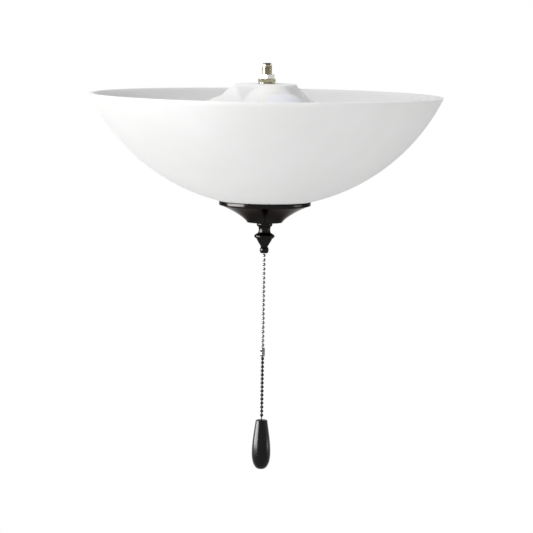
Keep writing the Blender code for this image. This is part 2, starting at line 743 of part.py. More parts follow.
def leads(number, frame, holder):
    """The holder's two leads: out of its back, in past the yoke and up into the stem."""
    level = NIPPLE_BOTTOM - LEAD_BELOW_NIPPLE
    azimuth = LAMP_AZIMUTHS[number - 1]
    outward = Vector((math.sin(azimuth), -math.cos(azimuth), 0.0))
    sideways = Vector((math.cos(azimuth), math.sin(azimuth), 0.0))
    up = Vector((0.0, 0.0, 1.0))
    droop = LAMP_DROOPS[number - 1]
    along = outward * math.cos(droop) - up * math.sin(droop)
    start = outward * LAMP_START_RADIUS + up * LAMP_START_HEIGHT
    for kind, side, finish in (("black", -1, BLACK_WIRE), ("white", 1, WHITE_WIRE)):
        hole_radius = LEAD_RADIUS + SEAT_GAP
        hole = cylinder(
            f"{kind}_lead_hole_{number}",
            hole_radius,
            -CUT_OVERRUN,
            LEAD_DEPTH + SEAT_GAP,
            BEAD_SIDES,
        )
        boolean(holder, cutter(hole, frame, (side * LEAD_SPREAD, 0.0, 0.0)))
        terminal = start + sideways * side * LEAD_SPREAD
        bearing = azimuth + side * math.pi / len(LAMP_AZIMUTHS) / 2
        inward = Vector((math.sin(bearing), -math.cos(bearing), 0.0)) * LEAD_RING_RADIUS
        turn = outward * LEAD_TURN_RADIUS + sideways * side * LEAD_SPREAD
        points = [
            terminal + along * LEAD_DEPTH,
            terminal - along * LEAD_BACK_REACH,
            turn + up * level,
            inward * 2 + up * level,
            inward + up * (level + LEAD_RING_RADIUS),
            inward + up * (NIPPLE_BOTTOM + LEAD_ABOVE_NIPPLE_END),
        ]
        place(tube_curve(f"{kind}_lead_{number}", points, LEAD_RADIUS), finish)


def bulb(number, frame, contact_top):
    """A bulb: its threaded base, in the screw shell, and its frosted globe."""
    tip = contact_top + SEAT_GAP
    base_top = tip + BASE_LENGTH
    thread_pitch = BASE_SHELL_LENGTH / BASE_THREADS
    outline = [(0.0, base_top), (BASE_RADIUS, base_top)]
    for i in range(BASE_THREADS):
        crest = base_top - (i + 1) * thread_pitch
        outline.append((BASE_RADIUS - BASE_THREAD_DEPTH, crest + thread_pitch / 2))
        outline.append((BASE_RADIUS, crest))
    outline += [
        (BASE_TIP_RADIUS, tip + BASE_TIP_HEIGHT),
        (BASE_TIP_RADIUS - BASE_THREAD_DEPTH, tip),
        (0.0, tip),
    ]
    place(solid(f"bulb_base_{number}", outline, BASE_SIDES), ALUMINIUM, frame)

    neck_start = base_top + SEAT_GAP
    centre = tip + BULB_CENTRE_FROM_TIP
    globe = arc((0.0, centre), BULB_RADIUS, math.pi / 2, BULB_FLARE_ANGLE, GLOBE_STEPS)
    tangent = (math.sin(BULB_FLARE_ANGLE), -math.cos(BULB_FLARE_ANGLE))
    handle = BULB_RADIUS / 2
    neck_end = neck_start + BULB_NECK_LENGTH
    neck = bezier(
        globe[-1],
        (globe[-1][0] + tangent[0] * handle, globe[-1][1] + tangent[1] * handle),
        (BULB_NECK_RADIUS, neck_end + handle / 2),
        (BULB_NECK_RADIUS, neck_end),
        NECK_STEPS,
    )
    outline = [(0.0, globe[0][1]), *globe[1:], *neck[1:]]
    outline += [(BULB_NECK_RADIUS, neck_start), (0.0, neck_start)]
    place(solid(f"bulb_glass_{number}", outline, ROUND_SIDES), BULB_GLASS, frame)


def switch_yoke(home):
    """A strip bent into a tall frame: the nipple's nut holds its top, the rod hangs from its foot."""
    half = YOKE_INNER_HALF_WIDTH + YOKE_THICKNESS / 2
    top = YOKE_TOP - YOKE_THICKNESS / 2
    bottom = YOKE_BOTTOM + YOKE_THICKNESS / 2
    bend = 2 * YOKE_THICKNESS
    path = []
    corners = ((half, top, 0), (-half, top, 1), (-half, bottom, 2), (half, bottom, 3))
    for x, z, quarter in corners:
        centre = (x - math.copysign(bend, x), z - (bend if z == top else -bend))
        first = quarter * math.pi / 2
        path += arc(centre, bend, first, first + math.pi / 2, BEND_STEPS)
    yoke = place(ribbon("switch_yoke", path, YOKE_WIDTH, YOKE_THICKNESS, True), STEEL, home)
    for end, radius, height in (("top", NIPPLE_RADIUS, top), ("foot", ROD_RADIUS, bottom)):
        hole = cylinder(
            f"yoke_{end}_cutter",
            radius + SEAT_GAP,
            height - YOKE_THICKNESS,
            height + YOKE_THICKNESS,
        )
        boolean(yoke, cutter(hole, home))
    return yoke


def pull_switch(home, yoke):
    """The pull switch: case, lid, nozzle, drum with its pin and spring, and the screw to the yoke."""
    left = -YOKE_INNER_HALF_WIDTH + SEAT_GAP
    right = SWITCH_SIDE_REACH
    front = -SWITCH_DEPTH / 2
    lid_front = SWITCH_DEPTH / 2 - SWITCH_LID_THICKNESS
    rear = lid_front - SEAT_GAP
    case = box("switch_case", (left, front, SWITCH_BOTTOM), (right, rear, SWITCH_TOP))
    place(case, BLACK_PLASTIC, home)
    hollow = box(
        "switch_hollow",
        (left + SWITCH_WALL, front + SWITCH_WALL, SWITCH_BOTTOM + SWITCH_WALL),
        (right - SWITCH_WALL, rear + CUT_OVERRUN, SWITCH_TOP - SWITCH_WALL),
    )
    boolean(case, cutter(hollow, home))
    hole = cylinder(
        "nozzle_cutter",
        NOZZLE_RADIUS + SEAT_GAP,
        SWITCH_BOTTOM - CUT_OVERRUN,
        SWITCH_BOTTOM + SWITCH_WALL + SEAT_GAP,
    )
    boolean(case, cutter(hole, home))
    lid = box("switch_cover", (left, lid_front, SWITCH_BOTTOM), (right, SWITCH_DEPTH / 2, SWITCH_TOP))
    place(lid, BLACK_PLASTIC, home)

    axle = empty("drum_axis", (-DRUM_PITCH_RADIUS, 0.0, DRUM_HEIGHT), home)
    axle.rotation_euler = (math.pi / 2, 0.0, 0.0)
    groove_radius = DRUM_PITCH_RADIUS - BEAD_RADIUS - SLIP_GAP
    groove_half = DRUM_HALF_WIDTH - DRUM_FLANGE_THICKNESS
    bore = PIN_RADIUS + SEAT_GAP
    outline = [
        (DRUM_FLANGE_RADIUS, DRUM_HALF_WIDTH),
        (DRUM_FLANGE_RADIUS, groove_half),
        (groove_radius, groove_half),
        (groove_radius, -groove_half),
        (DRUM_FLANGE_RADIUS, -groove_half),
        (DRUM_FLANGE_RADIUS, -DRUM_HALF_WIDTH),
        (bore, -DRUM_HALF_WIDTH),
        (bore, DRUM_HALF_WIDTH),
    ]
    place(ring("switch_drum", outline), BLACK_PLASTIC, axle)
    pin_front = front + SWITCH_WALL / 2
    pin_rear = rear + SEAT_GAP / 2
    pin = cylinder("drum_pin", PIN_RADIUS, -pin_rear, -pin_front, SMALL_SIDES)
    place(pin, STEEL, axle)
    socket = cylinder("pin_cutter", PIN_RADIUS + SEAT_GAP, -rear, -pin_front + SEAT_GAP, SMALL_SIDES)
    boolean(case, cutter(socket, axle))

    spring_start = DRUM_HALF_WIDTH + SEAT_GAP + SPRING_WIRE_RADIUS
    points = []
    for i in range(SPRING_TURNS * COIL_STEPS + 1):
        turns = i / COIL_STEPS
        x = SPRING_RADIUS * math.cos(math.tau * turns)
        y = SPRING_RADIUS * math.sin(math.tau * turns)
        points.append((x, y, -spring_start - SPRING_PITCH * turns))
    place(tube_curve("return_spring", points, SPRING_WIRE_RADIUS), STEEL, axle)

    floor = SWITCH_BOTTOM + SWITCH_WALL
    flange_bottom = floor + SEAT_GAP
    flange_top = flange_bottom + NOZZLE_FLANGE_THICKNESS
    nozzle_bottom = ROD_TOP + SEAT_GAP
    mouth_rise = NOZZLE_MOUTH_RADIUS - NOZZLE_RADIUS
    outline = [
        (NOZZLE_FLANGE_RADIUS, flange_top),
        (NOZZLE_FLANGE_RADIUS, flange_bottom),
        (NOZZLE_RADIUS, flange_bottom),
        (NOZZLE_RADIUS, nozzle_bottom + 2 * mouth_rise),
        (NOZZLE_MOUTH_RADIUS, nozzle_bottom),
        (NOZZLE_BORE_RADIUS + mouth_rise, nozzle_bottom),
        (NOZZLE_BORE_RADIUS, nozzle_bottom + 2 * mouth_rise),
        (NOZZLE_BORE_RADIUS, flange_top),
    ]
    place(ring("switch_nozzle", outline, SMALL_SIDES), BRASS, home)

    screw_height = SWITCH_TOP - SWITCH_SCREW_DROP
    screw_axis = empty("switch_screw_axis", (-YOKE_INNER_HALF_WIDTH, 0.0, screw_height), home)
    screw_axis.rotation_euler = (0.0, math.pi / 2, 0.0)
    head_top = -YOKE_THICKNESS - SEAT_GAP
    outline = screw_outline(SEAT_GAP + SWITCH_WALL, head_top)
    place(solid("switch_screw", outline, BEAD_SIDES), ZINC, screw_axis)
    hole = cutter(
        cylinder(
            "switch_screw_cutter",
            SCREW_RADIUS + SEAT_GAP,
            head_top,
            SWITCH_SCREW_LENGTH,
            SMALL_SIDES,
        ),
        screw_axis,
    )
    boolean(yoke, hole)
    boolean(case, hole)


def rod_and_glass():
    """The centre rod with its nuts, the washers, the glass bowl, its cap and the finial."""
    hole = ROD_RADIUS + SEAT_GAP
    place(ring("centre_rod", washer_outline(ROD_RADIUS, ROD_BORE_RADIUS, ROD_BOTTOM, ROD_TOP)), ZINC)
    plate_top = YOKE_BOTTOM + YOKE_THICKNESS
    hex_nut("rod_top_nut", ROD_NUT_FLATS, hole, plate_top + SEAT_GAP, ROD_NUT_HEIGHT, ZINC)
    jam_bottom = YOKE_BOTTOM - SEAT_GAP - ROD_NUT_HEIGHT
    hex_nut("rod_jam_nut", ROD_NUT_FLATS, hole, jam_bottom, ROD_NUT_HEIGHT, ZINC)
    hex_nut("check_nut", ROD_NUT_FLATS, hole, CHECK_NUT_TOP - ROD_NUT_HEIGHT, ROD_NUT_HEIGHT, ZINC)
    steel_top = STEEL_WASHER_BOTTOM + STEEL_WASHER_THICKNESS
    outline = washer_outline(STEEL_WASHER_RADIUS, hole, STEEL_WASHER_BOTTOM, steel_top)
    place(ring("steel_washer", outline), STEEL)
    rubber_top = RUBBER_WASHER_BOTTOM + RUBBER_WASHER_THICKNESS
    outline = [
        (RUBBER_WASHER_RADIUS, rubber_top),
        (RUBBER_WASHER_RADIUS, RUBBER_WASHER_BOTTOM),
        (GLASS_HOLE_RADIUS, bowl_inside(GLASS_HOLE_RADIUS) + SEAT_GAP),
        (hole, bowl_inside(GLASS_HOLE_RADIUS) + SEAT_GAP),
        (hole, rubber_top),
    ]
    place(ring("rubber_washer", outline), RUBBER)

    centre = (0.0, BOWL_CURVE_HEIGHT)
    inner_curve = BOWL_CURVE_RADIUS - GLASS_WALL
    rim_angle = math.asin((RIM_HEIGHT - BOWL_CURVE_HEIGHT) / BOWL_CURVE_RADIUS)
    inner_rim_angle = math.asin((RIM_HEIGHT - BOWL_CURVE_HEIGHT) / inner_curve)
    foot_angle = -math.acos(GLASS_HOLE_RADIUS / BOWL_CURVE_RADIUS)
    inner_foot_angle = -math.acos(GLASS_HOLE_RADIUS / inner_curve)
    cap_angle = -math.acos(CAP_RADIUS / BOWL_CURVE_RADIUS)
    washer_angle = -math.acos(RUBBER_WASHER_RADIUS / inner_curve)
    outer = arc(centre, BOWL_CURVE_RADIUS, rim_angle, cap_angle, BOWL_STEPS)
    outer += arc(centre, BOWL_CURVE_RADIUS, cap_angle, foot_angle, BEND_STEPS)[1:]
    inner = arc(centre, inner_curve, inner_foot_angle, washer_angle, 1)
    inner += arc(centre, inner_curve, washer_angle, inner_rim_angle, BOWL_STEPS)[1:]
    place(ring("glass_bowl", outer + inner, BOWL_SIDES), OPAL_GLASS)

    lip = CAP_TOP - CAP_LIP_HEIGHT
    foot = CAP_BOTTOM
    drop = lip - foot
    spread = CAP_RADIUS - CAP_FOOT_RADIUS
    lip_round = CAP_LIP_HEIGHT / 4
    handles = []
    for inwards, down in (CAP_WAIST_SHARES, CAP_FOOT_SHARES):
        handles.append((CAP_FOOT_RADIUS + inwards * spread, lip - down * drop))
    skirt_foot = (CAP_FOOT_RADIUS, foot + CAP_WALL)
    skirt = bezier((CAP_RADIUS - lip_round, lip), *handles, skirt_foot, SKIRT_STEPS)
    outer = [
        (CAP_RADIUS - lip_round, CAP_TOP),
        (CAP_RADIUS, CAP_TOP - lip_round),
        (CAP_RADIUS, lip + lip_round),
        *skirt,
        (CAP_FOOT_RADIUS - CAP_WALL, foot),
    ]
    inner = [(radius - CAP_WALL, height + CAP_WALL) for radius, height in reversed(skirt)]
    inner.append((CAP_RADIUS - lip_round - 2 * CAP_WALL, CAP_TOP - SEAT_GAP))
    outline = outer + [(hole, foot), (hole, foot + CAP_WALL)] + inner[1:]
    place(ring("bowl_cap", outline, CAP_SIDES), DARK_BRONZE)
    finial(hole)


def finial(thread_radius):
    """The turned finial: threaded for the rod above, bored for the chain below."""
    outline = []
    for wide, down in FINIAL_SIDE_SHARES:
        outline.append((FINIAL_RADIUS * wide, FINIAL_TOP - FINIAL_LENGTH * down))
    step = FINIAL_TOP - FINIAL_THREAD_DEPTH
    outline += [
        (FINIAL_BORE_RADIUS, FINIAL_BOTTOM),
        (FINIAL_BORE_RADIUS, step),
        (thread_radius, step),
        (thread_radius, FINIAL_TOP),
    ]
    place(ring("finial", outline), DARK_BRONZE)


def pull_chain():
    """The ball chain from the switch to the pendant. Each length hangs from its own pivot bead."""
    slide = empty("chain_slide")
    pivot = empty("chain_pivot", (0.0, 0.0, EXIT_BEAD_HEIGHT), slide)
    coupling_top = empty("coupling_pivot", (0.0, 0.0, COUPLING_UPPER_BEAD - EXIT_BEAD_HEIGHT), pivot)
    coupling_foot = empty("lower_chain_pivot", (0.0, 0.0, -COUPLING_BEAD_SPACING), coupling_top)
    pull_pivot = empty("pull_pivot", (0.0, 0.0, PULL_BEAD_HEIGHT - COUPLING_LOWER_BEAD), coupling_foot)

    inner = lathe_chain("inner_chain", CHAIN_TOP, INNER_BEADS, UPPER_PITCH, 0.0, UPPER_PITCH, True)
    place(inner, NICKEL, slide)
    place(lathe_chain("exit_bead", 0.0, 1, UPPER_PITCH, 0.0, 0.0), NICKEL, pivot)
    upper = lathe_chain("upper_chain", -UPPER_PITCH, UPPER_BEADS, UPPER_PITCH, UPPER_PITCH, 0.0)
    place(upper, NICKEL, pivot)

    half = COUPLING_LENGTH / 2
    bore = COUPLING_RADIUS - COUPLING_WALL
    lip = COUPLING_MOUTH_RADIUS
    neck = half - COUPLING_WALL
    shoulder = COUPLING_RADIUS - lip - COUPLING_WALL
    outline = [
        (lip + COUPLING_WALL, half),
        (COUPLING_RADIUS, neck - shoulder / 2),
        (COUPLING_RADIUS, -neck + shoulder / 2),
        (lip + COUPLING_WALL, -half),
        (lip, -half),
        (lip, -neck),
        (bore, -neck + shoulder),
        (bore, neck - shoulder),
        (lip, neck),
        (lip, half),
    ]
    middle = (0.0, 0.0, -COUPLING_BEAD_SPACING / 2)
    place(ring("chain_coupling", outline, SMALL_SIDES), NICKEL, coupling_top, middle)

    lower = lathe_chain("lower_chain", 0.0, LOWER_BEADS, LOWER_PITCH, 0.0, LAST_LINK)
    place(lower, BLACK_CHAIN, coupling_foot)
    place(lathe_chain("pull_end_bead", 0.0, 1, LOWER_PITCH, 0.0, 0.0), BLACK_CHAIN, pull_pivot)
    pendant(pull_pivot)


def pendant(home):
    """The drop-shaped pull and the ring that keeps the end bead in its pocket."""
    top = PULL_BEAD_DEPTH
    bottom = top - PULL_LENGTH
    spread = PULL_RADIUS - PULL_SHOULDER_RADIUS
    widest = top - PULL_WIDEST_SHARE * PULL_LENGTH
    round_off = PULL_SHOULDER_RADIUS / 4
    wider, lower = PULL_UPPER_HANDLE_SHARES
    flank = bezier(
        (PULL_SHOULDER_RADIUS, top - round_off),
        (PULL_SHOULDER_RADIUS + wider * spread, top - lower * PULL_LENGTH),
        (PULL_RADIUS, widest + PULL_LOWER_HANDLE_SHARE * PULL_LENGTH),
        (PULL_RADIUS, widest),
        PULL_STEPS,
    )
    nose = bezier(
        (PULL_RADIUS, widest),
        (PULL_RADIUS, widest - PULL_NOSE_HANDLE_SHARE * PULL_LENGTH),
        (PULL_NOSE_WIDTH_SHARE * PULL_RADIUS, bottom),
        (PULL_TIP_RADIUS, bottom),
        PULL_STEPS,
    )
    ring_hole = RETAINER_RADIUS + SEAT_GAP
    seat = top - RETAINER_HEIGHT - SEAT_GAP
    outline = [
        (0.0, top - PULL_POCKET_DEPTH),
        (PULL_POCKET_RADIUS, top - PULL_POCKET_DEPTH),
        (PULL_POCKET_RADIUS, seat),
        (ring_hole, seat),
        (ring_hole, top),
        (PULL_SHOULDER_RADIUS - round_off, top),
        *flank,
        *nose[1:],
        (0.0, bottom),
    ]
    place(solid("pull_pendant", outline), BLACK_LACQUER, home)
    ring_top = top
    ring_bottom = top - RETAINER_HEIGHT
    outline = [
        (RETAINER_RADIUS, ring_top),
        (RETAINER_RADIUS, ring_bottom),
        (RETAINER_BORE_RADIUS, ring_bottom),
        (RETAINER_BORE_RADIUS + SEAT_GAP, ring_top),
    ]
    place(ring("pull_retainer", outline, SMALL_SIDES), BLACK_CHAIN, home)


def smooth_all():
    """Round faces shade smooth, with edges kept where two faces meet sharply."""
    for item in PARTS.objects:
        if item.type == "MESH":
            item.data.shade_smooth()
            item.data.set_sharp_from_angle(angle=SHARP_ANGLE)


def build():
    stem()
    frames = lamp_frames()
    fitter_housing(frames)
    spider = socket_spider()
    for number, frame in enumerate(frames, start=1):
        contact_top = lampholder(number, frame, spider)
        bulb(number, frame, contact_top)
    switch_home = empty("switch_frame")
    switch_home.rotation_euler = (0.0, 0.0, YOKE_AZIMUTH - math.pi / 2)
    yoke = switch_yoke(switch_home)
    pull_switch(switch_home, yoke)
    rod_and_glass()
    pull_chain()
    smooth_all()


build()
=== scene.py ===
import json
import math

import bpy
from mathutils import Euler, Matrix, Vector


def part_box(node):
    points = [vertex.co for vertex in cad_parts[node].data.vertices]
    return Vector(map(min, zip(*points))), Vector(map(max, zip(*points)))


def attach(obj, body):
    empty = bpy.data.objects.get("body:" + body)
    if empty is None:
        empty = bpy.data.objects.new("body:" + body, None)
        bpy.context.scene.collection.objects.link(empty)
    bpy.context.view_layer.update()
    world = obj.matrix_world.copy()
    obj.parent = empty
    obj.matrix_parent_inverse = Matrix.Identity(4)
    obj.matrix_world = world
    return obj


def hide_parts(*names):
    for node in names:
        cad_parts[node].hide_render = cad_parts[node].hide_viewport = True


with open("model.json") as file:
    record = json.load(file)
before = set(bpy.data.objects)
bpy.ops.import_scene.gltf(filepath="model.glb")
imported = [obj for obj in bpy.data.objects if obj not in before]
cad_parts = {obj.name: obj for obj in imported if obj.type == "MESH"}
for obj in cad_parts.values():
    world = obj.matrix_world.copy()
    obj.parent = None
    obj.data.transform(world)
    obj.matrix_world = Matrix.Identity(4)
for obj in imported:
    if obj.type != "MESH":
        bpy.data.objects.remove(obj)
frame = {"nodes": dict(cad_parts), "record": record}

# Ceiling fan light kit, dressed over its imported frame. Metres, +Z up, the stem on the Z axis,
# the photograph's camera on the -Y side. Outlines and the pieces' own values are in millimetres,
# the camera's, the lamps' and the stage's in metres.

mm = 0.001
deg = math.radians(1.0)
weld = 0.001  # points nearer than this become one
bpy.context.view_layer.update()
nodes = frame["nodes"]
slotOf = {row["node"]: row["material_slot"] for row in frame["record"]["subparts"]}
bodyOf = {node: body for body, members in frame["record"]["behaviour"]["bodies"].items() for node in members}
print("frame:", len(nodes), "nodes")


# A node's lowest and highest point in mm.
def heights(node):
    low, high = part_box(node)
    return low.z / mm, high.z / mm


# How far a node reaches from the stem's axis, in mm.
def reachOf(node):
    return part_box(node)[1].x / mm


view = {
    "distance": 3.3,  # from the stem's axis
    "height": 0.1136,  # over the upper nut's top face
    "aim": (0.0024, 0.0, -0.1793),
    "frameWidth": 0.4975,  # what the picture takes in at the axis
    "sensor": 36.0,
    "roll": 0.9,
    "clipEnd": 60.0,
}


def setCamera():
    aim = Vector(view["aim"])
    place = Vector((aim.x, -view["distance"], view["height"]))
    bpy.ops.object.camera_add(location=place)
    camera = bpy.context.object
    look = (aim - place).to_track_quat("-Z", "Y").to_matrix().to_4x4()
    camera.matrix_world = Matrix.Translation(place) @ look @ Matrix.Rotation(view["roll"] * deg, 4, "Z")
    camera.data.sensor_width = view["sensor"]
    camera.data.lens = view["sensor"] * (aim - place).length / view["frameWidth"]
    camera.data.clip_end = view["clipEnd"]
    bpy.context.scene.camera = camera


# The left lamp shades the glass, and the softbox beside it only shows in what shines. The side
# lamp does both for the right. The front and top lamps fill, and leave no highlight.
lampAim = (0.0, 0.0, -0.10)
lamps = {
    "left": {
        "azimuth": -76.0, "rise": -4.0, "distance": 2.0, "size": (1.4, 0.5), "watts": 12.0, "shines": False,
    },
    "softbox": {
        "azimuth": -80.0, "rise": 6.0, "distance": 2.0, "size": (2.0, 1.1), "watts": 240.0, "shades": False,
    },
    "side": {
        "azimuth": 90.0, "rise": -4.5, "distance": 5.0, "size": (2.2, 0.3), "watts": 28.0,
    },
    "front": {
        "azimuth": -26.0, "rise": -24.0, "distance": 3.6, "size": (0.9, 1.2), "watts": 36.0, "shines": False,
    },
    "top": {
        "azimuth": -50.0, "rise": 50.0, "distance": 2.6, "size": (1.2, 1.2), "watts": 31.0, "shines": False,
    },
}


def setLamps():
    target = Vector(lampAim)
    for name, lampValues in lamps.items():
        turned, rise = lampValues["azimuth"] * deg, lampValues["rise"] * deg
        level = math.cos(rise)
        away = Vector((math.sin(turned) * level, -math.cos(turned) * level, math.sin(rise)))
        place = target + away * lampValues["distance"]
        bpy.ops.object.light_add(type="AREA", location=place)
        light = bpy.context.object
        light.name = name + "Lamp"
        light.rotation_euler = (target - place).to_track_quat("-Z", "Y").to_euler()
        light.data.shape = "RECTANGLE"
        light.data.size, light.data.size_y = lampValues["size"]
        light.data.energy = lampValues["watts"]
        light.visible_glossy = lampValues.get("shines", True)
        light.visible_diffuse = lampValues.get("shades", True)


# A value in a node tree, so that shader maths reads as an expression.
class Wire:
    def __init__(self, shader, socket):
        self.shader = shader
        self.socket = socket

    def maths(self, operation, first, second):
        return self.shader.node("ShaderNodeMath", {"operation": operation}, {0: first, 1: second})

    def __add__(self, other):
        return self.maths("ADD", self, other)

    def __radd__(self, other):
        return self.maths("ADD", other, self)

    def __mul__(self, other):
        return self.maths("MULTIPLY", self, other)

    def __rmul__(self, other):
        return self.maths("MULTIPLY", other, self)

    def __lt__(self, other):
        return self.maths("LESS_THAN", self, other)

    def __gt__(self, other):
        return self.maths("GREATER_THAN", self, other)


# The node tree of a material or world.
class Shader:
    def __init__(self, owner):
        self.material = owner
        owner.use_nodes = True
        self.tree = owner.node_tree

    def node(self, kind, settings=None, values=None, output=0):
        made = self.tree.nodes.new(kind)
        for setting, value in (settings or {}).items():
            if setting == "stops":
                fillRamp(made.color_ramp, value)
            else:
                setattr(made, setting, value)
        for socket, value in (values or {}).items():
            self.join(made.inputs[socket], value)
        return Wire(self, made.outputs[output]) if made.outputs else None

    def join(self, socket, value):
        if isinstance(value, Wire):
            self.tree.links.new(value.socket, socket)
        else:
            socket.default_value = value

    def set(self, **values):
        surface = self.tree.nodes["Principled BSDF"]
        for name, value in values.items():
            self.join(surface.inputs[socketNames[name]], value)


socketNames = {
    "colour": "Base Color",
    "roughness": "Roughness",
    "metallic": "Metallic",
    "normal": "Normal",
    "subsurface": "Subsurface Weight",
    "subsurfaceReach": "Subsurface Scale",
    "subsurfaceSpread": "Subsurface Radius",
    "gloss": "Specular IOR Level",
    "edge": "Specular Tint",
}


def fillRamp(ramp, stops):
    while len(ramp.elements) < len(stops):
        ramp.elements.new(1.0)
    for element, (place, shade) in zip(ramp.elements, stops):
        element.position = place
        element.color = (shade, shade, shade, 1.0)


def rgb(colour):
    return (*colour, 1.0)


# Object coordinates, in metres.
def makePlace(shader):
    return shader.node("ShaderNodeTexCoord", output="Object")


# One breakup for all patterns, and three levels of detail.
noise = {"breakup": 0.55, "detail": 3.0, "fineDetail": 2.0, "smoothDetail": 1.0}


def makeNoise(shader, place, scale, detail=noise["detail"], stretch=(1.0, 1.0, 1.0)):
    spread = shader.node("ShaderNodeMapping", {}, {"Vector": place, "Scale": stretch})
    values = {"Vector": spread, "Scale": scale, "Detail": detail, "Roughness": noise["breakup"]}
    return shader.node("ShaderNodeTexNoise", {}, values)


def mixColour(shader, amount, first, second):
    return shader.node("ShaderNodeMix", {"data_type": "RGBA"}, {0: amount, 6: first, 7: second}, output=2)


# From a look's first colour to its second.
def mixLook(shader, amount, look):
    first, second = look["colours"]
    return mixColour(shader, amount, rgb(first), rgb(second))


# From the lower limit to the upper one.
def between(limits, amount):
    low, high = limits
    return low + (high - low) * amount


# A bump whose reach is in mm, over another bump if one is given.
def makeBump(shader, height, strength, reach, under=None):
    values = {"Height": height, "Strength": strength, "Distance": reach * mm}
    if under is not None:
        values["Normal"] = under
    return shader.node("ShaderNodeBump", {}, values)


# What the metals share, where a look doesn't say otherwise.
metal = {"ringDepth": 0.07, "ringReach": 0.04, "ringStretch": (0.02, 0.02, 1.0), "edge": (1.0, 1.0, 1.0)}
metalLooks = {
    "brass_plate": {
        "colours": ((0.22, 0.195, 0.125), (0.44, 0.41, 0.30)),
        "roughness": (0.13, 0.19),
        "rings": 2600.0,
        "clouds": 260.0,
    },
    "bright_zinc": {
        "colours": ((0.52, 0.51, 0.47), (0.74, 0.73, 0.68)),
        "roughness": (0.18, 0.26),
        "rings": 2200.0,
        "clouds": 320.0,
    },
    "plated_steel": {
        "colours": ((0.44, 0.45, 0.46), (0.60, 0.60, 0.59)),
        "roughness": (0.28, 0.46),
        "rings": 900.0,
        "clouds": 180.0,
    },
    "bulb_base_aluminium": {
        "colours": ((0.66, 0.66, 0.66), (0.80, 0.80, 0.79)),
        "roughness": (0.26, 0.42),
        "rings": 1200.0,
        "clouds": 140.0,
    },
    "nickel": {
        "colours": ((0.10, 0.098, 0.095), (0.20, 0.196, 0.19)),
        "roughness": (0.13, 0.19),
        "rings": 3000.0,
        "ringDepth": 0.02,
        "clouds": 420.0,
    },
    "dark_bronze": {
        "colours": ((0.0095, 0.0093, 0.0092), (0.0185, 0.0168, 0.0164)),
        "roughness": (0.13, 0.18),
        "edge": (0.50, 0.49, 0.485),
        "rings": 1400.0,
        "ringDepth": 0.012,
        "clouds": 42.0,
    },
    "black_chain": {
        "colours": ((0.012, 0.012, 0.012), (0.036, 0.035, 0.035)),
        "roughness": (0.20, 0.30),
        "edge": (0.52, 0.52, 0.52),
        "rings": 3000.0,
        "ringDepth": 0.02,
        "clouds": 420.0,
    },
}


# Plated or lacquered metal: clouded colour, fine lathe rings, uneven polish.
def makeMetal(slot, look):
    shader = Shader(bpy.data.materials.new(slot))
    place = makePlace(shader)
    clouds = makeNoise(shader, place, look["clouds"])
    rings = makeNoise(shader, place, look["rings"], noise["fineDetail"], metal["ringStretch"])
    depth = look.get("ringDepth", metal["ringDepth"])
    shader.set(
        colour=mixLook(shader, clouds, look),
        roughness=between(look["roughness"], 0.5 * clouds + 0.5 * rings),
        metallic=1.0,
        edge=rgb(look.get("edge", metal["edge"])),
        normal=makeBump(shader, rings, depth, metal["ringReach"]),
    )
    return shader.material


moulded = {"mottle": 150.0, "grain": 3200.0, "grainDepth": 0.18, "grainReach": 0.05, "gloss": 0.35}
mouldedLooks = {
    "black_plastic": {"colours": ((0.016, 0.016, 0.017), (0.030, 0.030, 0.031)), "roughness": (0.38, 0.52)},
    "rubber": {"colours": ((0.030, 0.030, 0.030), (0.060, 0.058, 0.056)), "roughness": (0.70, 0.86)},
    "black_lead": {"colours": ((0.020, 0.020, 0.021), (0.034, 0.034, 0.035)), "roughness": (0.42, 0.54)},
    "white_lead": {"colours": ((0.78, 0.78, 0.75), (0.86, 0.86, 0.84)), "roughness": (0.42, 0.54)},
}


# Moulded plastic or rubber: faint mottling and a fine grain.
def makeMoulded(slot, look):
    shader = Shader(bpy.data.materials.new(slot))
    place = makePlace(shader)
    mottle = makeNoise(shader, place, moulded["mottle"])
    grain = makeNoise(shader, place, moulded["grain"], noise["fineDetail"])
    shader.set(
        colour=mixLook(shader, mottle, look),
        roughness=between(look["roughness"], mottle),
        normal=makeBump(shader, grain, moulded["grainDepth"], moulded["grainReach"]),
        gloss=moulded["gloss"],
    )
    return shader.material


whiteLooks = {
    "white_porcelain": {
        "colours": ((0.84, 0.835, 0.82), (0.90, 0.895, 0.88)),
        "roughness": (0.16, 0.26),
        "clouds": 70.0,
        "skin": 240.0,  # a glaze that lies slightly uneven
        "skinDepth": 0.10,
        "skinReach": 0.10,
    },
    "white_enamel": {
        "colours": ((0.885, 0.885, 0.88), (0.92, 0.92, 0.915)),
        "roughness": (0.38, 0.50),
        "clouds": 60.0,
        "skin": 520.0,  # orange peel
        "skinDepth": 0.12,
        "skinReach": 0.06,
    },
    "frosted_bulb": {
        "colours": ((0.78, 0.79, 0.84), (0.82, 0.83, 0.865)),
        "roughness": (0.26, 0.36),
        "clouds": 45.0,
        "skin": 900.0,  # frost
        "skinDepth": 0.08,
        "skinReach": 0.03,
    },
}


# The white finishes: clouded white under a fine uneven skin. Without gloss, because the softbox
# would burn out their edges from the side.
def makeWhite(slot, look):
    shader = Shader(bpy.data.materials.new(slot))
    place = makePlace(shader)
    clouds = makeNoise(shader, place, look["clouds"])
    skin = makeNoise(shader, place, look["skin"], noise["fineDetail"])
    shader.set(
        colour=mixLook(shader, clouds, look),
        roughness=between(look["roughness"], skin),
        normal=makeBump(shader, skin, look["skinDepth"], look["skinReach"]),
        gloss=0.0,
    )
    return shader.material


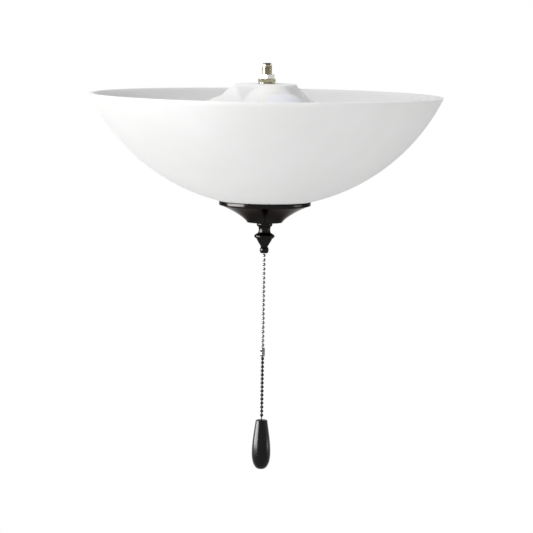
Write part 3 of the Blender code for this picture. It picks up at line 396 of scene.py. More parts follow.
opal = {
    "colours": ((0.875, 0.875, 0.868), (0.915, 0.915, 0.910)),
    "roughness": (0.40, 0.52),
    "clouds": 16.0,
    "cloudStops": ((0.3, 0.0), (0.7, 1.0)),
    "grain": 1500.0,
    "grainDepth": 0.10,
    "grainReach": 0.03,
    "waves": 26.0,
    "waveDepth": 0.05,
    "waveReach": 1.0,
    "glow": 0.35,  # how much light wanders inside the wall
    "glowReach": 6.0,
    # painted shade: the flat grey that the inner face of the glass takes
    "inside": (0.76, 0.76, 0.76),
    "paintedShadeRadius": 180.7,  # from the sphere's centre to the middle of the wall
    "centreLift": 78.4,  # of that centre over the rim
}


# Acid-etched opal glass: clouded white, fine satin grain, faint mould waves, and a flat grey on the inner
# face that is painted shade.
def makeOpal(slot):
    shader = Shader(bpy.data.materials.new(slot))
    place = makePlace(shader)
    spots = makeNoise(shader, place, opal["clouds"], noise["fineDetail"])
    clouds = shader.node("ShaderNodeValToRGB", {"stops": opal["cloudStops"]}, {"Fac": spots})
    grain = makeNoise(shader, place, opal["grain"], noise["fineDetail"])
    waves = makeNoise(shader, place, opal["waves"], noise["smoothDetail"])
    centre = (0.0, 0.0, (heights("glass_bowl")[1] + opal["centreLift"]) * mm)
    distance = {"operation": "DISTANCE"}
    reach = shader.node("ShaderNodeVectorMath", distance, {0: place, 1: centre}, output="Value")
    # The inner face, nearer the centre than the wall's middle, takes the painted shade grey.
    inside = reach < opal["paintedShadeRadius"] * mm
    satin = makeBump(shader, grain, opal["grainDepth"], opal["grainReach"])
    shader.set(
        colour=mixColour(shader, inside, mixLook(shader, clouds, opal), rgb(opal["inside"])),
        roughness=between(opal["roughness"], grain),
        normal=makeBump(shader, waves, opal["waveDepth"], opal["waveReach"], satin),
        gloss=0.0,
        subsurface=opal["glow"],
        subsurfaceReach=opal["glowReach"] * mm,
        subsurfaceSpread=(1.0, 1.0, 1.0),
    )
    return shader.material


lacquer = {
    "colours": ((0.001, 0.001, 0.001), (0.004, 0.0035, 0.0035)),
    "roughness": (0.18, 0.22),
    "gloss": 0.15,
    "grain": 300.0,
    "grainStretch": (1.0, 1.0, 0.08),
    "grainDepth": 0.004,
    "grainReach": 0.03,
}


# Black lacquer on turned wood: grain runs down the pull, just felt under the gloss.
def makeLacquer(slot):
    shader = Shader(bpy.data.materials.new(slot))
    place = makePlace(shader)
    grain = makeNoise(shader, place, lacquer["grain"], noise["detail"], lacquer["grainStretch"])
    shader.set(
        colour=mixLook(shader, grain, lacquer),
        roughness=between(lacquer["roughness"], grain),
        normal=makeBump(shader, grain, lacquer["grainDepth"], lacquer["grainReach"]),
        gloss=lacquer["gloss"],
    )
    return shader.material


def makeFinishes():
    made = {slot: makeMetal(slot, look) for slot, look in metalLooks.items()}
    made.update({slot: makeMoulded(slot, look) for slot, look in mouldedLooks.items()})
    made.update({slot: makeWhite(slot, look) for slot, look in whiteLooks.items()})
    made["opal_glass"] = makeOpal("opal_glass")
    made["black_lacquer"] = makeLacquer("black_lacquer")
    return made


def deselect():
    bpy.ops.object.select_all(action="DESELECT")


# These pieces alone are selected, the first of them active.
def choose(*pieces):
    deselect()
    for piece in pieces:
        piece.select_set(True)
    bpy.context.view_layer.objects.active = pieces[0]


def applyPlace():
    bpy.ops.object.transform_apply(location=True, rotation=True, scale=True)


# The piece takes the node's place, body and finish. Its faces shade smooth up to an angle.
def dress(piece, node, smooth=35.0):
    choose(piece)
    applyPlace()
    bpy.ops.object.shade_smooth_by_angle(angle=smooth * deg)
    piece.data.materials.clear()
    piece.data.materials.append(finishes[slotOf[node]])
    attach(piece, bodyOf[node])
    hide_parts(node)
    return piece


# An outline of (radius, height) in mm, drawn by extruding a point. It is left in edit mode.
def drawOutline(name, outline, lift=0.0):
    deselect()
    points = [Vector((radius * mm, 0.0, (height + lift) * mm)) for radius, height in outline]
    bpy.ops.mesh.primitive_plane_add(size=mm)
    piece = bpy.context.object
    piece.name = name
    bpy.ops.object.mode_set(mode="EDIT")
    bpy.ops.mesh.merge(type="CENTER")
    bpy.ops.transform.translate(value=points[0])
    for start, end in zip(points, points[1:]):
        bpy.ops.mesh.extrude_region_move(TRANSFORM_OT_translate={"value": end - start})
    bpy.ops.mesh.select_all(action="SELECT")
    bpy.ops.mesh.remove_doubles(threshold=weld * mm)
    return piece


# A turned piece. A closed outline joins its end to its start, an open one starts and ends on the axis.
def turn(name, outline, steps, closed=True, lift=0.0):
    piece = drawOutline(name, [*outline, outline[0]] if closed else outline, lift)
    bpy.ops.mesh.spin(steps=steps, angle=math.tau, center=(0.0, 0.0, 0.0), axis=(0.0, 0.0, 1.0))
    bpy.ops.mesh.select_all(action="SELECT")
    bpy.ops.mesh.remove_doubles(threshold=weld * mm)
    bpy.ops.mesh.normals_make_consistent(inside=False)
    bpy.ops.object.mode_set(mode="OBJECT")
    return piece


def applyModifiers(piece):
    choose(piece)
    for modifier in list(piece.modifiers):
        bpy.ops.object.modifier_apply(modifier=modifier.name)


# Applies a Boolean with the tool, which is then deleted.
def carve(piece, tool, operation="DIFFERENCE"):
    cut = piece.modifiers.new("cut", "BOOLEAN")
    cut.operation = operation
    cut.solver = "EXACT"
    cut.object = tool
    applyModifiers(piece)
    bpy.data.objects.remove(tool, do_unlink=True)
    return piece


# An upright cylinder in mm, to cut a round hole with.
def drill(radius, depth, height, sides):
    deselect()
    bpy.ops.mesh.primitive_cylinder_add(
        vertices=sides, radius=radius * mm, depth=depth * mm, location=(0.0, 0.0, height * mm)
    )
    applyPlace()
    return bpy.context.object


# Cuts a piece off level at a height in mm, above or below it.
def cutLevel(piece, height, side, fill):
    choose(piece)
    bpy.ops.object.mode_set(mode="EDIT")
    bpy.ops.mesh.select_all(action="SELECT")
    bpy.ops.mesh.bisect(
        plane_co=(0.0, 0.0, height * mm),
        plane_no=(0.0, 0.0, 1.0),
        use_fill=fill,
        clear_outer=side == "above",
        clear_inner=side == "below",
    )
    bpy.ops.object.mode_set(mode="OBJECT")


def joinPieces(name, pieces):
    choose(*pieces)
    bpy.ops.object.join()
    made = bpy.context.object
    made.name = name
    return made


# Copies of a piece, each moved by its offset. The first stays the piece itself, moved too.
def copyAt(piece, offsets):
    made = []
    for offset in offsets[1:]:
        choose(piece)
        bpy.ops.object.duplicate()
        bpy.ops.transform.translate(value=offset)
        made.append(bpy.context.object)
    choose(piece)
    bpy.ops.transform.translate(value=offsets[0])
    return [piece, *made]


# The weighted sum of some (radius, height) points.
def blendPoints(weights, points):
    return tuple(sum(weight * point[k] for weight, point in zip(weights, points)) for k in (0, 1))


# A smooth line through the given points.
def rounded(points, steps):
    line = []
    ends = [points[0], *points, points[-1]]
    for around in zip(ends, ends[1:], ends[2:], ends[3:]):
        for i in range(steps):
            t = i / steps
            weights = (
                (-(t**3) + 2 * t**2 - t) / 2,
                (3 * t**3 - 5 * t**2 + 2) / 2,
                (-3 * t**3 + 4 * t**2 + t) / 2,
                (t**3 - t**2) / 2,
            )
            line.append(blendPoints(weights, around))
    line.append(points[-1])
    return line


# A Bezier stretch of an outline.
def bend(start, startHandle, endHandle, end, steps):
    line = []
    for i in range(steps + 1):
        t = i / steps
        weights = ((1 - t) ** 3, 3 * t * (1 - t) ** 2, 3 * t**2 * (1 - t), t**3)
        line.append(blendPoints(weights, (start, startHandle, endHandle, end)))
    return line


def arcLine(centre, radius, first, last, steps):
    line = []
    for i in range(steps + 1):
        angle = first + (last - first) * i / steps
        line.append((centre[0] + radius * math.cos(angle), centre[1] + radius * math.sin(angle)))
    return line


ridge = {
    "sunk": 0.15,  # how far its foot stands inside the core
    "halfFootShare": 0.46,  # of the pitch
}


# A screw thread's ridge: a small triangle carried up a helix, closed at both ends.
def thread(name, core, major, pitch, bottom, top, steps=36):
    start = bottom + pitch / 2
    foot, half = core - ridge["sunk"], pitch * ridge["halfFootShare"]
    crest = (major, start)
    piece = drawOutline(name, [crest, (foot, start - half), (foot, start + half), crest])
    bpy.ops.object.mode_set(mode="OBJECT")
    helix = piece.modifiers.new("helix", "SCREW")
    helix.axis = "Z"
    helix.screw_offset = pitch * mm
    helix.iterations = int((top - bottom) / pitch) - 1
    helix.steps = steps
    helix.render_steps = steps
    applyModifiers(piece)
    bpy.ops.object.mode_set(mode="EDIT")
    bpy.ops.mesh.select_all(action="SELECT")
    bpy.ops.mesh.fill_holes(sides=3)
    bpy.ops.mesh.select_all(action="SELECT")
    bpy.ops.mesh.normals_make_consistent(inside=False)
    bpy.ops.object.mode_set(mode="OBJECT")
    return piece


nut = {
    "chamfer": 0.8,
    "chamferSlope": 30.0,
    "holeEdge": 0.35,
    "overrun": 1.0,  # of the prism past each face
}


# A hexagon nut: a six-sided prism kept inside a chamfered, bored round.
def hexNut(node, flats, hole, chamfer=nut["chamfer"], turned=0.0):
    bottom, top = heights(node)
    corner = flats / math.sqrt(3)
    drop = chamfer * math.tan(nut["chamferSlope"] * deg)
    edge = nut["holeEdge"]
    outline = [
        (corner - chamfer, top),
        (corner, top - drop),
        (corner, bottom + drop),
        (corner - chamfer, bottom),
        (hole + edge, bottom),
        (hole, bottom + edge),
        (hole, top - edge),
        (hole + edge, top),
    ]
    blank = turn(node + "Blank", outline, steps=72)
    deselect()
    bpy.ops.mesh.primitive_cylinder_add(
        vertices=6,
        radius=corner * mm,
        depth=(top - bottom + 2 * nut["overrun"]) * mm,
        location=(0.0, 0.0, (bottom + top) / 2 * mm),
        rotation=(0.0, 0.0, turned * deg),
    )
    made = carve(blank, bpy.context.object, "INTERSECT")
    made.name = node.title().replace("_", "")
    return dress(made, node, smooth=20.0)


stem = {
    "radius": 5.0,
    "core": 4.5,
    "bore": 3.5,
    "pitch": 1.0,
    "endEdge": 0.1,
    "boreEdge": 0.5,
    "nutFlats": 14.3,
    "nutHole": 5.3,
    "lowerNutTurned": 24.0,
}


def makeStem():
    bottom, top = heights("threaded_nipple")
    core, bore = stem["core"], stem["bore"]
    end, edge = stem["endEdge"], stem["boreEdge"]
    outline = [
        (core, top - end),
        (core, bottom + end),
        (core - end, bottom),
        (bore + edge, bottom),
        (bore, bottom + edge),
        (bore, top - edge),
        (bore + edge, top),
        (core - end, top),
    ]
    tube = turn("stemTube", outline, steps=72)
    screw = thread("stemRidge", core, stem["radius"], stem["pitch"], bottom, top)
    dress(joinPieces("threadedStem", [tube, screw]), "threaded_nipple", smooth=30.0)


bushing = {
    "mouth": 2.5,
    "mouthEdge": 0.5,
    "rim": 3.9,
    "rimEdge": 0.7,
    "rimHeight": 1.2,
    "fit": 0.3,  # between its plug and the stem's bore
}


def makeBushing():
    bottom, top = heights("wire_bushing")
    mouth, mouthEdge = bushing["mouth"], bushing["mouthEdge"]
    rim, rimEdge = bushing["rim"], bushing["rimEdge"]
    foot = top - bushing["rimHeight"]
    plug = stem["bore"] - bushing["fit"]
    outline = [
        (mouth, bottom),
        *arcLine((mouth + mouthEdge, top - mouthEdge), mouthEdge, 180 * deg, 90 * deg, steps=6),
        *arcLine((rim - rimEdge, top - rimEdge), rimEdge, 90 * deg, 0.0, steps=8),
        (rim, foot),
        (plug, foot),
        (plug, bottom),
    ]
    dress(turn("wireBushing", outline, steps=64), "wire_bushing")


def makeStemNuts():
    flats, hole = stem["nutFlats"], stem["nutHole"]
    hexNut("upper_locknut", flats, hole)
    hexNut("lower_locknut", flats, hole, turned=stem["lowerNutTurned"])
    hexNut("nipple_inner_nut", flats, hole)


starWasher = {"teeth": 14, "toothRoot": 6.7, "notchWidth": 1.1, "notchHeight": 3.0}


# A ring with notches cut into its rim, so that teeth are left.
def makeStarWasher():
    bottom, top = heights("star_washer")
    outer, hole, teeth = reachOf("star_washer"), stem["nutHole"], starWasher["teeth"]
    washer = turn("starWasher", [(outer, top), (outer, bottom), (hole, bottom), (hole, top)], steps=84)
    deselect()
    bpy.ops.mesh.primitive_cube_add(size=1.0, location=(outer * mm, 0.0, (bottom + top) / 2 * mm))
    notch = bpy.context.object
    depth = 2 * (outer - starWasher["toothRoot"])
    notch.scale = (depth * mm, starWasher["notchWidth"] * mm, starWasher["notchHeight"] * mm)
    applyPlace()
    notches = [notch]
    for i in range(1, teeth):
        choose(notch)
        bpy.ops.object.duplicate()
        angle = math.tau * i / teeth
        bpy.ops.transform.rotate(value=angle, orient_axis="Z", center_override=(0.0, 0.0, 0.0))
        notches.append(bpy.context.object)
    dress(carve(washer, joinPieces("notches", notches)), "star_washer", smooth=30.0)


lamp = {
    "azimuths": (10.0, 130.0, 250.0),
    "droops": (6.0, 21.0, 21.0),
    "startRadius": 24.0,
    "startDrop": 21.4,
}


# From the lamp's own frame, Z out along it, to the fitting.
def lampMatrix(index):
    azimuth, droop = lamp["azimuths"][index] * deg, lamp["droops"][index] * deg
    radius = lamp["startRadius"]
    height = heights("fitter_housing")[1] - lamp["startDrop"]
    start = Vector((math.sin(azimuth) * radius, -math.cos(azimuth) * radius, height)) * mm
    return Matrix.Translation(start) @ Euler((math.pi / 2 + droop, 0.0, azimuth)).to_matrix().to_4x4()


def placeLamp(piece, index):
    choose(piece)
    piece.matrix_world = lampMatrix(index)
    applyPlace()
    return piece


holder = {
    "radius": 16.5,
    "length": 36.0,
    "bore": 14.2,
    "floor": 7.45,
    "lip": 1.2,
    "mouthEdge": (0.4, 0.6),
    "grooves": (29.0, 26.0),
    "grooveDepth": 0.5,
    "grooveMouth": 0.8,
    "grooveFoot": 0.4,
    "shoulder": 6.3,
    "shoulderEdge": (0.3, 0.8),
    "coneFoot": 2.7,
    "coneEdge": (0.2, 0.5),
    "back": 12.5,
    "backEdge": 0.4,
    "screwHole": 1.75,
    "screwDepth": 5.0,
}


def holderOutline():
    radius, length, back, bore = holder["radius"], holder["length"], holder["back"], holder["bore"]
    floor, lip, shoulder, cone = holder["floor"], holder["lip"], holder["shoulder"], holder["coneFoot"]
    line = [
        (0.0, floor),
        (bore, floor),
        (bore, length - holder["mouthEdge"][1]),
        (bore + holder["mouthEdge"][0], length),
        *arcLine((radius - lip, length - lip), lip, 90 * deg, 0.0, steps=5),
    ]
    deep, mouth, foot = radius - holder["grooveDepth"], holder["grooveMouth"], holder["grooveFoot"]
    for place in holder["grooves"]:
        line += [(radius, place + mouth), (deep, place + foot), (deep, place - foot), (radius, place - mouth)]
    line += [
        (radius, shoulder),
        (radius - holder["shoulderEdge"][0], shoulder - holder["shoulderEdge"][1]),
        (back + holder["coneEdge"][0], cone),
        (back, cone - holder["coneEdge"][1]),
        (back, holder["backEdge"]),
        (back - holder["backEdge"], 0.0),
        (holder["screwHole"], 0.0),
        (holder["screwHole"], holder["screwDepth"]),
        (0.0, holder["screwDepth"]),
    ]
    return line


bulb = {
    "tip": 9.95,
    "baseLength": 24.0,
    "baseGap": 0.3,
    "radius": 23.8,
    "centre": 61.0,
    "neckRadius": 12.4,
    "neckLength": 5.0,
    "flare": -40.0,
}


def bulbOutline():
    start = bulb["tip"] + bulb["baseLength"] + bulb["baseGap"]
    neckEnd = start + bulb["neckLength"]
    neck, flare, handle = bulb["neckRadius"], bulb["flare"] * deg, bulb["radius"] / 2
    globe = arcLine((0.0, bulb["tip"] + bulb["centre"]), bulb["radius"], 90 * deg, flare, steps=26)
    side, height = globe[-1]
    sideHandle = (side + math.sin(flare) * handle, height - math.cos(flare) * handle)
    throat = bend(globe[-1], sideHandle, (neck, neckEnd + handle / 2), (neck, neckEnd), steps=10)
    return [(0.0, globe[0][1]), *globe[1:], *throat[1:], (neck, start), (0.0, start)]


def makeLamps():
    for index in range(len(lamp["azimuths"])):
        number = index + 1
        socket = turn(f"lampholder{number}", holderOutline(), steps=72, closed=False)
        dress(placeLamp(socket, index), f"lampholder_{number}")
        glass = turn(f"bulb{number}", bulbOutline(), steps=72, closed=False)
        dress(placeLamp(glass, index), f"bulb_glass_{number}", smooth=60.0)


fitter = {
    "coreRadius": 28.5,
    "shoulder": 2.0,
    "coreOverrun": 6.0,  # of the core below the cut
    "hoodReach": 31.3,
    "hoodHalfWidth": 27.0,
    "hoodOffset": 18.0,
    "hoodDrop": 30.1,
    "wall": 1.0,
    "stemHole": 5.3,
    "stemHoleDepth": 8.0,
    "voxel": 0.9,
    "smoothing": 0.5,
    "smoothings": 14,
    "openingGap": 0.05,  # round each lampholder
    "openingDepth": 36.0,
    "openingMiddle": 21.0,
}


# The bulge over one lampholder.
def makeHood(azimuth, top):
    deselect()
    bpy.ops.mesh.primitive_uv_sphere_add(segments=72, ring_count=48, radius=1.0)
    hood = bpy.context.object
    reach, offset = fitter["hoodReach"], fitter["hoodOffset"]
    hood.scale = Vector((fitter["hoodHalfWidth"], reach, reach)) * mm
    place = (math.sin(azimuth) * offset, -math.cos(azimuth) * offset, top - fitter["hoodDrop"])
    hood.location = Vector(place) * mm
    hood.rotation_euler = (0.0, 0.0, azimuth)
    applyPlace()
    return hood


# The white stamping: a round core with three hoods, blended, hollowed and pierced.
def makeFitter():
    bottom, top = heights("fitter_housing")
    radius, shoulder = fitter["coreRadius"], fitter["shoulder"]
    foot = bottom - fitter["coreOverrun"]
    outline = [
        (0.0, top),
        *arcLine((radius - shoulder, top - shoulder), shoulder, 90 * deg, 0.0, steps=8),
        (radius, foot),
        (0.0, foot),
    ]
    shell = turn("fitterHousing", outline, steps=96, closed=False)
    for azimuth in lamp["azimuths"]:
        carve(shell, makeHood(azimuth * deg, top), "UNION")
    cutLevel(shell, top, "above", fill=True)
    remesh = shell.modifiers.new("remesh", "REMESH")
    remesh.mode = "VOXEL"
    remesh.voxel_size = fitter["voxel"] * mm
    remesh.adaptivity = 0.0
    relax = shell.modifiers.new("relax", "SMOOTH")
    relax.factor = fitter["smoothing"]
    relax.iterations = fitter["smoothings"]
    applyModifiers(shell)
    cutLevel(shell, bottom, "below", fill=False)
    wall = shell.modifiers.new("wall", "SOLIDIFY")
    wall.thickness = fitter["wall"] * mm
    wall.offset = -1.0
    applyModifiers(shell)
    carve(shell, drill(fitter["stemHole"], fitter["stemHoleDepth"], top, sides=64))
    opened = holder["radius"] + fitter["openingGap"]
    for index in range(len(lamp["azimuths"])):
        opening = drill(opened, fitter["openingDepth"], fitter["openingMiddle"], sides=96)
        carve(shell, placeLamp(opening, index))
    dress(shell, "fitter_housing", smooth=40.0)


bowl = {
    "radius": 165.0,
    "depth": 104.3,
    "wall": 4.0,
    "hole": 6.5,
    "lip": 0.8,  # rounding of the rim's edges
    "steps": 160,
    "curveSteps": 40,
}


# A slice of a hollow sphere with a rounded rim and a hole in its foot.
def makeBowl():
    rim = heights("glass_bowl")[1]
    radius, depth, lip, steps = bowl["radius"], bowl["depth"], bowl["lip"], bowl["curveSteps"]
    curve = (radius**2 + depth**2) / (2 * depth)
    centre = (0.0, rim + curve - depth)
    inner = curve - bowl["wall"]
    outerRim = math.asin((rim - centre[1]) / curve)
    innerRim = math.asin((rim - centre[1]) / inner)
    outerFoot = -math.acos(bowl["hole"] / curve)
    innerFoot = -math.acos(bowl["hole"] / inner)
    outer = arcLine(centre, curve, outerRim - lip / curve, outerFoot, steps)
    inside = arcLine(centre, inner, innerFoot, innerRim - lip / inner, steps)
    corners = [(inner * math.cos(innerRim), rim), (curve * math.cos(outerRim), rim)]
    edge = bend(inside[-1], *corners, outer[0], steps=8)
    dress(turn("glassBowl", [*outer, *inside, *edge[1:-1]], bowl["steps"]), "glass_bowl", smooth=50.0)


cap = {
    "radius": 42.9,
    "wall": 0.9,
    "lip": 3.7,
    "lipEdge": 0.7,
    "lipFoot": (2.0, 0.1),  # inwards and up from the lip's lower corner
    "skirtTop": (2.3, 0.4),  # inwards and down from it
    "innerDrop": 0.3,
    "foot": 16.8,
    "hole": 4.3,
    "waistShares": (0.57, 0.26),
    "ankleShares": (0.18, 0.60),
}


# The spun cap: a rolled lip with a shadow line under it, an ogee skirt and a flat foot.
def makeCap():
    bottom, top = heights("bowl_cap")
    radius, wall, edge, foot, hole = cap["radius"], cap["wall"], cap["lipEdge"], cap["foot"], cap["hole"]
    lip = top - cap["lip"]
    drop, spread = lip - bottom, radius - foot
    roll = [
        *arcLine((radius - edge, top - edge), edge, 90 * deg, 0.0, steps=6),
        *arcLine((radius - edge, lip + edge), edge, 0.0, -90 * deg, steps=6),
        (radius - cap["lipFoot"][0], lip + cap["lipFoot"][1]),
    ]
    start = (radius - cap["skirtTop"][0], lip - cap["skirtTop"][1])
    shares = (cap["waistShares"], cap["ankleShares"])
    handles = [(foot + wide * spread, lip - down * drop) for wide, down in shares]
    skirt = bend(start, *handles, (foot, bottom + wall), steps=22)
    heel = arcLine((foot - wall, bottom + wall), wall, 0.0, -90 * deg, steps=4)
    inner = [(wide - wall, height + wall) for wide, height in reversed(skirt)]
    outline = [*roll, *skirt, *heel[1:], (hole, bottom), (hole, bottom + wall), *inner[1:]]
    outline.append((radius - edge - 2 * wall, top - cap["innerDrop"]))
    dress(turn("bowlCap", outline, steps=192), "bowl_cap", smooth=40.0)


finial = {
    "radius": 9.55,
    "length": 28.4,
    "bore": 2.0,
    "boreEdge": 0.3,
    "threadHole": 4.3,
    "threadDepth": 11.0,
    # Its side from the top down, in shares of the radius and length: bead, waist, collar, taper, ball
    "side": (
        ((0.71, 0.0), (0.76, 0.015), (0.775, 0.04), (0.765, 0.075), (0.71, 0.11)),
        ((0.66, 0.118), (0.62, 0.13), (0.585, 0.165), (0.572, 0.215), (0.58, 0.27), (0.61, 0.31)),
        (
            (0.63, 0.325), (0.75, 0.35), (0.89, 0.382), (0.965, 0.402),
            (0.995, 0.424), (1.0, 0.445), (0.985, 0.468), (0.93, 0.486),
        ),
        ((0.80, 0.52), (0.76, 0.535), (0.66, 0.60), (0.54, 0.67), (0.43, 0.73), (0.355, 0.775)),
        ((0.335, 0.79), (0.36, 0.81), (0.425, 0.85), (0.443, 0.905), (0.41, 0.955), (0.33, 1.0)),
    ),
}


# The turned finial, bored for the chain.
def makeFinial():
    bottom, top = heights("finial")
    outline = []
    for stretch in finial["side"]:
        points = [(finial["radius"] * wide, top - finial["length"] * down) for wide, down in stretch]
        outline += rounded(points, steps=4)
    bore, edge, hole = finial["bore"], finial["boreEdge"], finial["threadHole"]
    step = top - finial["threadDepth"]
    outline += [(bore + edge, bottom), (bore, bottom + edge), (bore, step), (hole, step), (hole, top)]
    dress(turn("finial", outline, steps=128), "finial", smooth=38.0)


rod = {
    "core": 3.5,
    "radius": 4.0,
    "bore": 2.5,
    "pitch": 1.25,
    "endEdge": 0.3,
    "nutFlats": 12.0,
    "nutHole": 4.3,
    "nutChamfer": 0.7,
    "washerEdge": 0.3,
}


def makeRod():
    bottom, top = heights("centre_rod")
    core, bore, edge = rod["core"], rod["bore"], rod["endEdge"]
    outline = [
        (core, top - edge),
        (core, bottom + edge),
        (core - edge, bottom),
        (bore, bottom),
        (bore, top),
        (core - edge, top),
    ]
    tube = turn("rodTube", outline, steps=36)
    screw = thread("rodRidge", core, rod["radius"], rod["pitch"], bottom, top, steps=20)
    dress(joinPieces("centreRod", [tube, screw]), "centre_rod", smooth=30.0)
    for node in ("rod_top_nut", "rod_jam_nut", "check_nut"):
        hexNut(node, rod["nutFlats"], rod["nutHole"], rod["nutChamfer"])


rubber = {
    "topEdge": 0.5,
    "seat": 0.72,  # height of the rim's underside, over the part in the glass's hole
    "seatEdge": (0.3, 0.4),
    "plug": 6.5,
}


def makeWashers():
    hole, edge = rod["nutHole"], rod["washerEdge"]
    bottom, top = heights("steel_washer")
    wide = reachOf("steel_washer")
    outline = [
        (wide - edge, top),
        (wide, top - edge),
        (wide, bottom + edge),
        (wide - edge, bottom),
        (hole, bottom),
        (hole, top),
    ]
    dress(turn("steelWasher", outline, steps=72), "steel_washer", smooth=30.0)

    bottom, top = heights("rubber_washer")
    wide, seat = reachOf("rubber_washer"), bottom + rubber["seat"]
    outline = [
        (wide - rubber["topEdge"], top),
        (wide, top - rubber["topEdge"]),
        (wide, seat + rubber["seatEdge"][1]),
        (wide - rubber["seatEdge"][0], seat),
        (rubber["plug"], bottom),
        (hole, bottom),
        (hole, top),
    ]
    dress(turn("rubberWasher", outline, steps=72), "rubber_washer", smooth=30.0)


chain = {
    "bead": 1.6,
    "wire": 0.5,
    "collar": 0.78,  # the small lip where the wire enters a bead
    "collarEdge": (0.12, 0.08),
    "collarDrop": 0.02,
    "upperPitch": 4.2,
    "lowerPitch": 3.8,
    "endGap": 7.9,  # from the lower run's last bead to the one in the pull
    "slack": 0.05,  # a run whose end is further off has wire up to it
}


# One hollow bead: a ball with a short collar at each pole.
def makeBead(name, height):
    bead, collar = chain["bead"], chain["collar"]
    pole = math.acos(collar / bead)
    end = bead - chain["collarDrop"]
    rim, fall = collar - chain["collarEdge"][0], end - chain["collarEdge"][1]
    ball = arcLine((0.0, 0.0), bead, pole, -pole, steps=9)
    outline = [(0.0, end), (rim, end), (collar, fall), *ball, (collar, -fall), (rim, -end), (0.0, -end)]
    return turn(name, outline, steps=16, closed=False, lift=height)


# A run of beads on its wire. tail is how far the wire goes past the last bead's centre.
def makeRun(name, node, first, count, pitch, tail):
    offsets = [Vector((0.0, 0.0, -i * pitch * mm)) for i in range(count)]
    beads = copyAt(makeBead(name + "Bead", first), offsets)
    top = heights(node)[1]
    wire = chain["wire"]
    highest = top if top > first + chain["bead"] + chain["slack"] else first
    lowest = first - (count - 1) * pitch - tail
    outline = [(0.0, highest), (wire, highest), (wire, lowest), (0.0, lowest)]
    strand = turn(name + "Wire", outline, steps=12, closed=False)
    dress(joinPieces(name, [*beads, strand]), node, smooth=40.0)


def makeChain():
    bead, pitch = chain["bead"], chain["upperPitch"]
    exitHeight = sum(heights("exit_bead")) / 2
    upperCount = round((exitHeight - bead - heights("upper_chain")[0]) / pitch)
    makeRun("upperChain", "upper_chain", exitHeight - pitch, upperCount, pitch, 0.0)
    innerFoot, innerEnd = heights("inner_chain")
    innerTop = innerEnd - bead
    innerCount = round((innerTop - exitHeight) / pitch)
    innerTail = innerTop - (innerCount - 1) * pitch - innerFoot
    makeRun("innerChain", "inner_chain", innerTop, innerCount, pitch, innerTail)
    dress(makeBead("exitBead", exitHeight), "exit_bead", smooth=40.0)

    pitch = chain["lowerPitch"]
    lowerFoot, lowerEnd = heights("lower_chain")
    lowerTop = lowerEnd - bead
    pullBead = sum(heights("pull_end_bead")) / 2
    lowerCount = round((lowerTop - pullBead - chain["endGap"]) / pitch) + 1
    lowerTail = lowerTop - (lowerCount - 1) * pitch - lowerFoot
    makeRun("lowerChain", "lower_chain", lowerTop, lowerCount, pitch, lowerTail)
    dress(makeBead("pullBead", pullBead), "pull_end_bead", smooth=40.0)


coupling = {
    "radius": 2.3,
    "wall": 0.35,
    "mouth": 1.45,
    "nose": (0.25, 0.35),  # inwards from the side and in from the end
    "shoulder": 1.0,
    "sideEnd": 2.4,
    "waist": 0.22,
    "seat": 0.85,
}


# The shell that traps a bead at each end, slightly waisted.
def makeCoupling():
    bottom, top = heights("chain_coupling")
    wide, wall, mouth, seat = coupling["radius"], coupling["wall"], coupling["mouth"], coupling["seat"]
    nose, inset = coupling["nose"]
    end = [
        (mouth + wall, 0.0),
        (wide - nose, inset),
        (wide, coupling["shoulder"]),
        (wide, coupling["sideEnd"]),
    ]
    upper = [(radius, top - height) for radius, height in end]
    lower = [(radius, bottom + height) for radius, height in reversed(end)]
    outer = rounded([*upper, (wide - coupling["waist"], (top + bottom) / 2), *lower], steps=4)
    bore = wide - wall
    inner = [
        (mouth, bottom),
        (mouth, bottom + wall),
        (bore, bottom + seat),
        (bore, top - seat),
        (mouth, top - wall),
        (mouth, top),
    ]
    dress(turn("chainCoupling", [*outer, *inner], steps=40), "chain_coupling", smooth=40.0)


pull = {
    "radius": 8.75,
    "shoulder": 5.6,
    "cornerShare": 0.25,  # of the shoulder's radius
    "cornerEnd": 12.0,
    "tip": 1.7,
    "pocket": 2.3,
    "pocketDepth": 7.0,
    "ringHole": 3.3,
    "ringSeat": 1.7,
    "ringHoleEdge": 0.2,
    "bellyShare": 0.68,  # how far down it is widest, of its length
    "flankShares": (0.45, 0.27),
    "flankEndShare": 0.24,
    "noseShares": (0.62, 0.20),
}


# The drop-shaped pull, round-shouldered, with a pocket for the bead and a seat for its ring.
def makePull():
    bottom, top = heights("pull_pendant")
    length, wide, shoulder = top - bottom, pull["radius"], pull["shoulder"]
    belly = top - pull["bellyShare"] * length
    edge = shoulder * pull["cornerShare"]
    corner = arcLine((shoulder - edge, top - edge), edge, 90 * deg, pull["cornerEnd"] * deg, steps=6)
    out, down = pull["flankShares"]
    flank = bend(
        (shoulder, top - edge),
        (shoulder + out * (wide - shoulder), top - down * length),
        (wide, belly + pull["flankEndShare"] * length),
        (wide, belly),
        steps=36,
    )
    out, down = pull["noseShares"]
    nose = bend(
        (wide, belly),
        (wide, belly - down * length),
        (out * wide, bottom),
        (pull["tip"], bottom),
        steps=18,
    )
    floor, seat = top - pull["pocketDepth"], top - pull["ringSeat"]
    hole, holeEdge = pull["ringHole"], pull["ringHoleEdge"]
    outline = [
        (0.0, floor),
        (pull["pocket"], floor),
        (pull["pocket"], seat),
        (hole, seat),
        (hole, top - holeEdge),
        (hole + holeEdge, top),
        *corner,
        *flank,
        *nose[1:],
        (0.0, bottom),
    ]
    dress(turn("pullPendant", outline, steps=160, closed=False), "pull_pendant", smooth=50.0)


pullRing = {
    "radius": 3.0,
    "edge": 0.25,
    "bore": 1.3,
    "land": 0.3,
    "flare": 0.45,
}


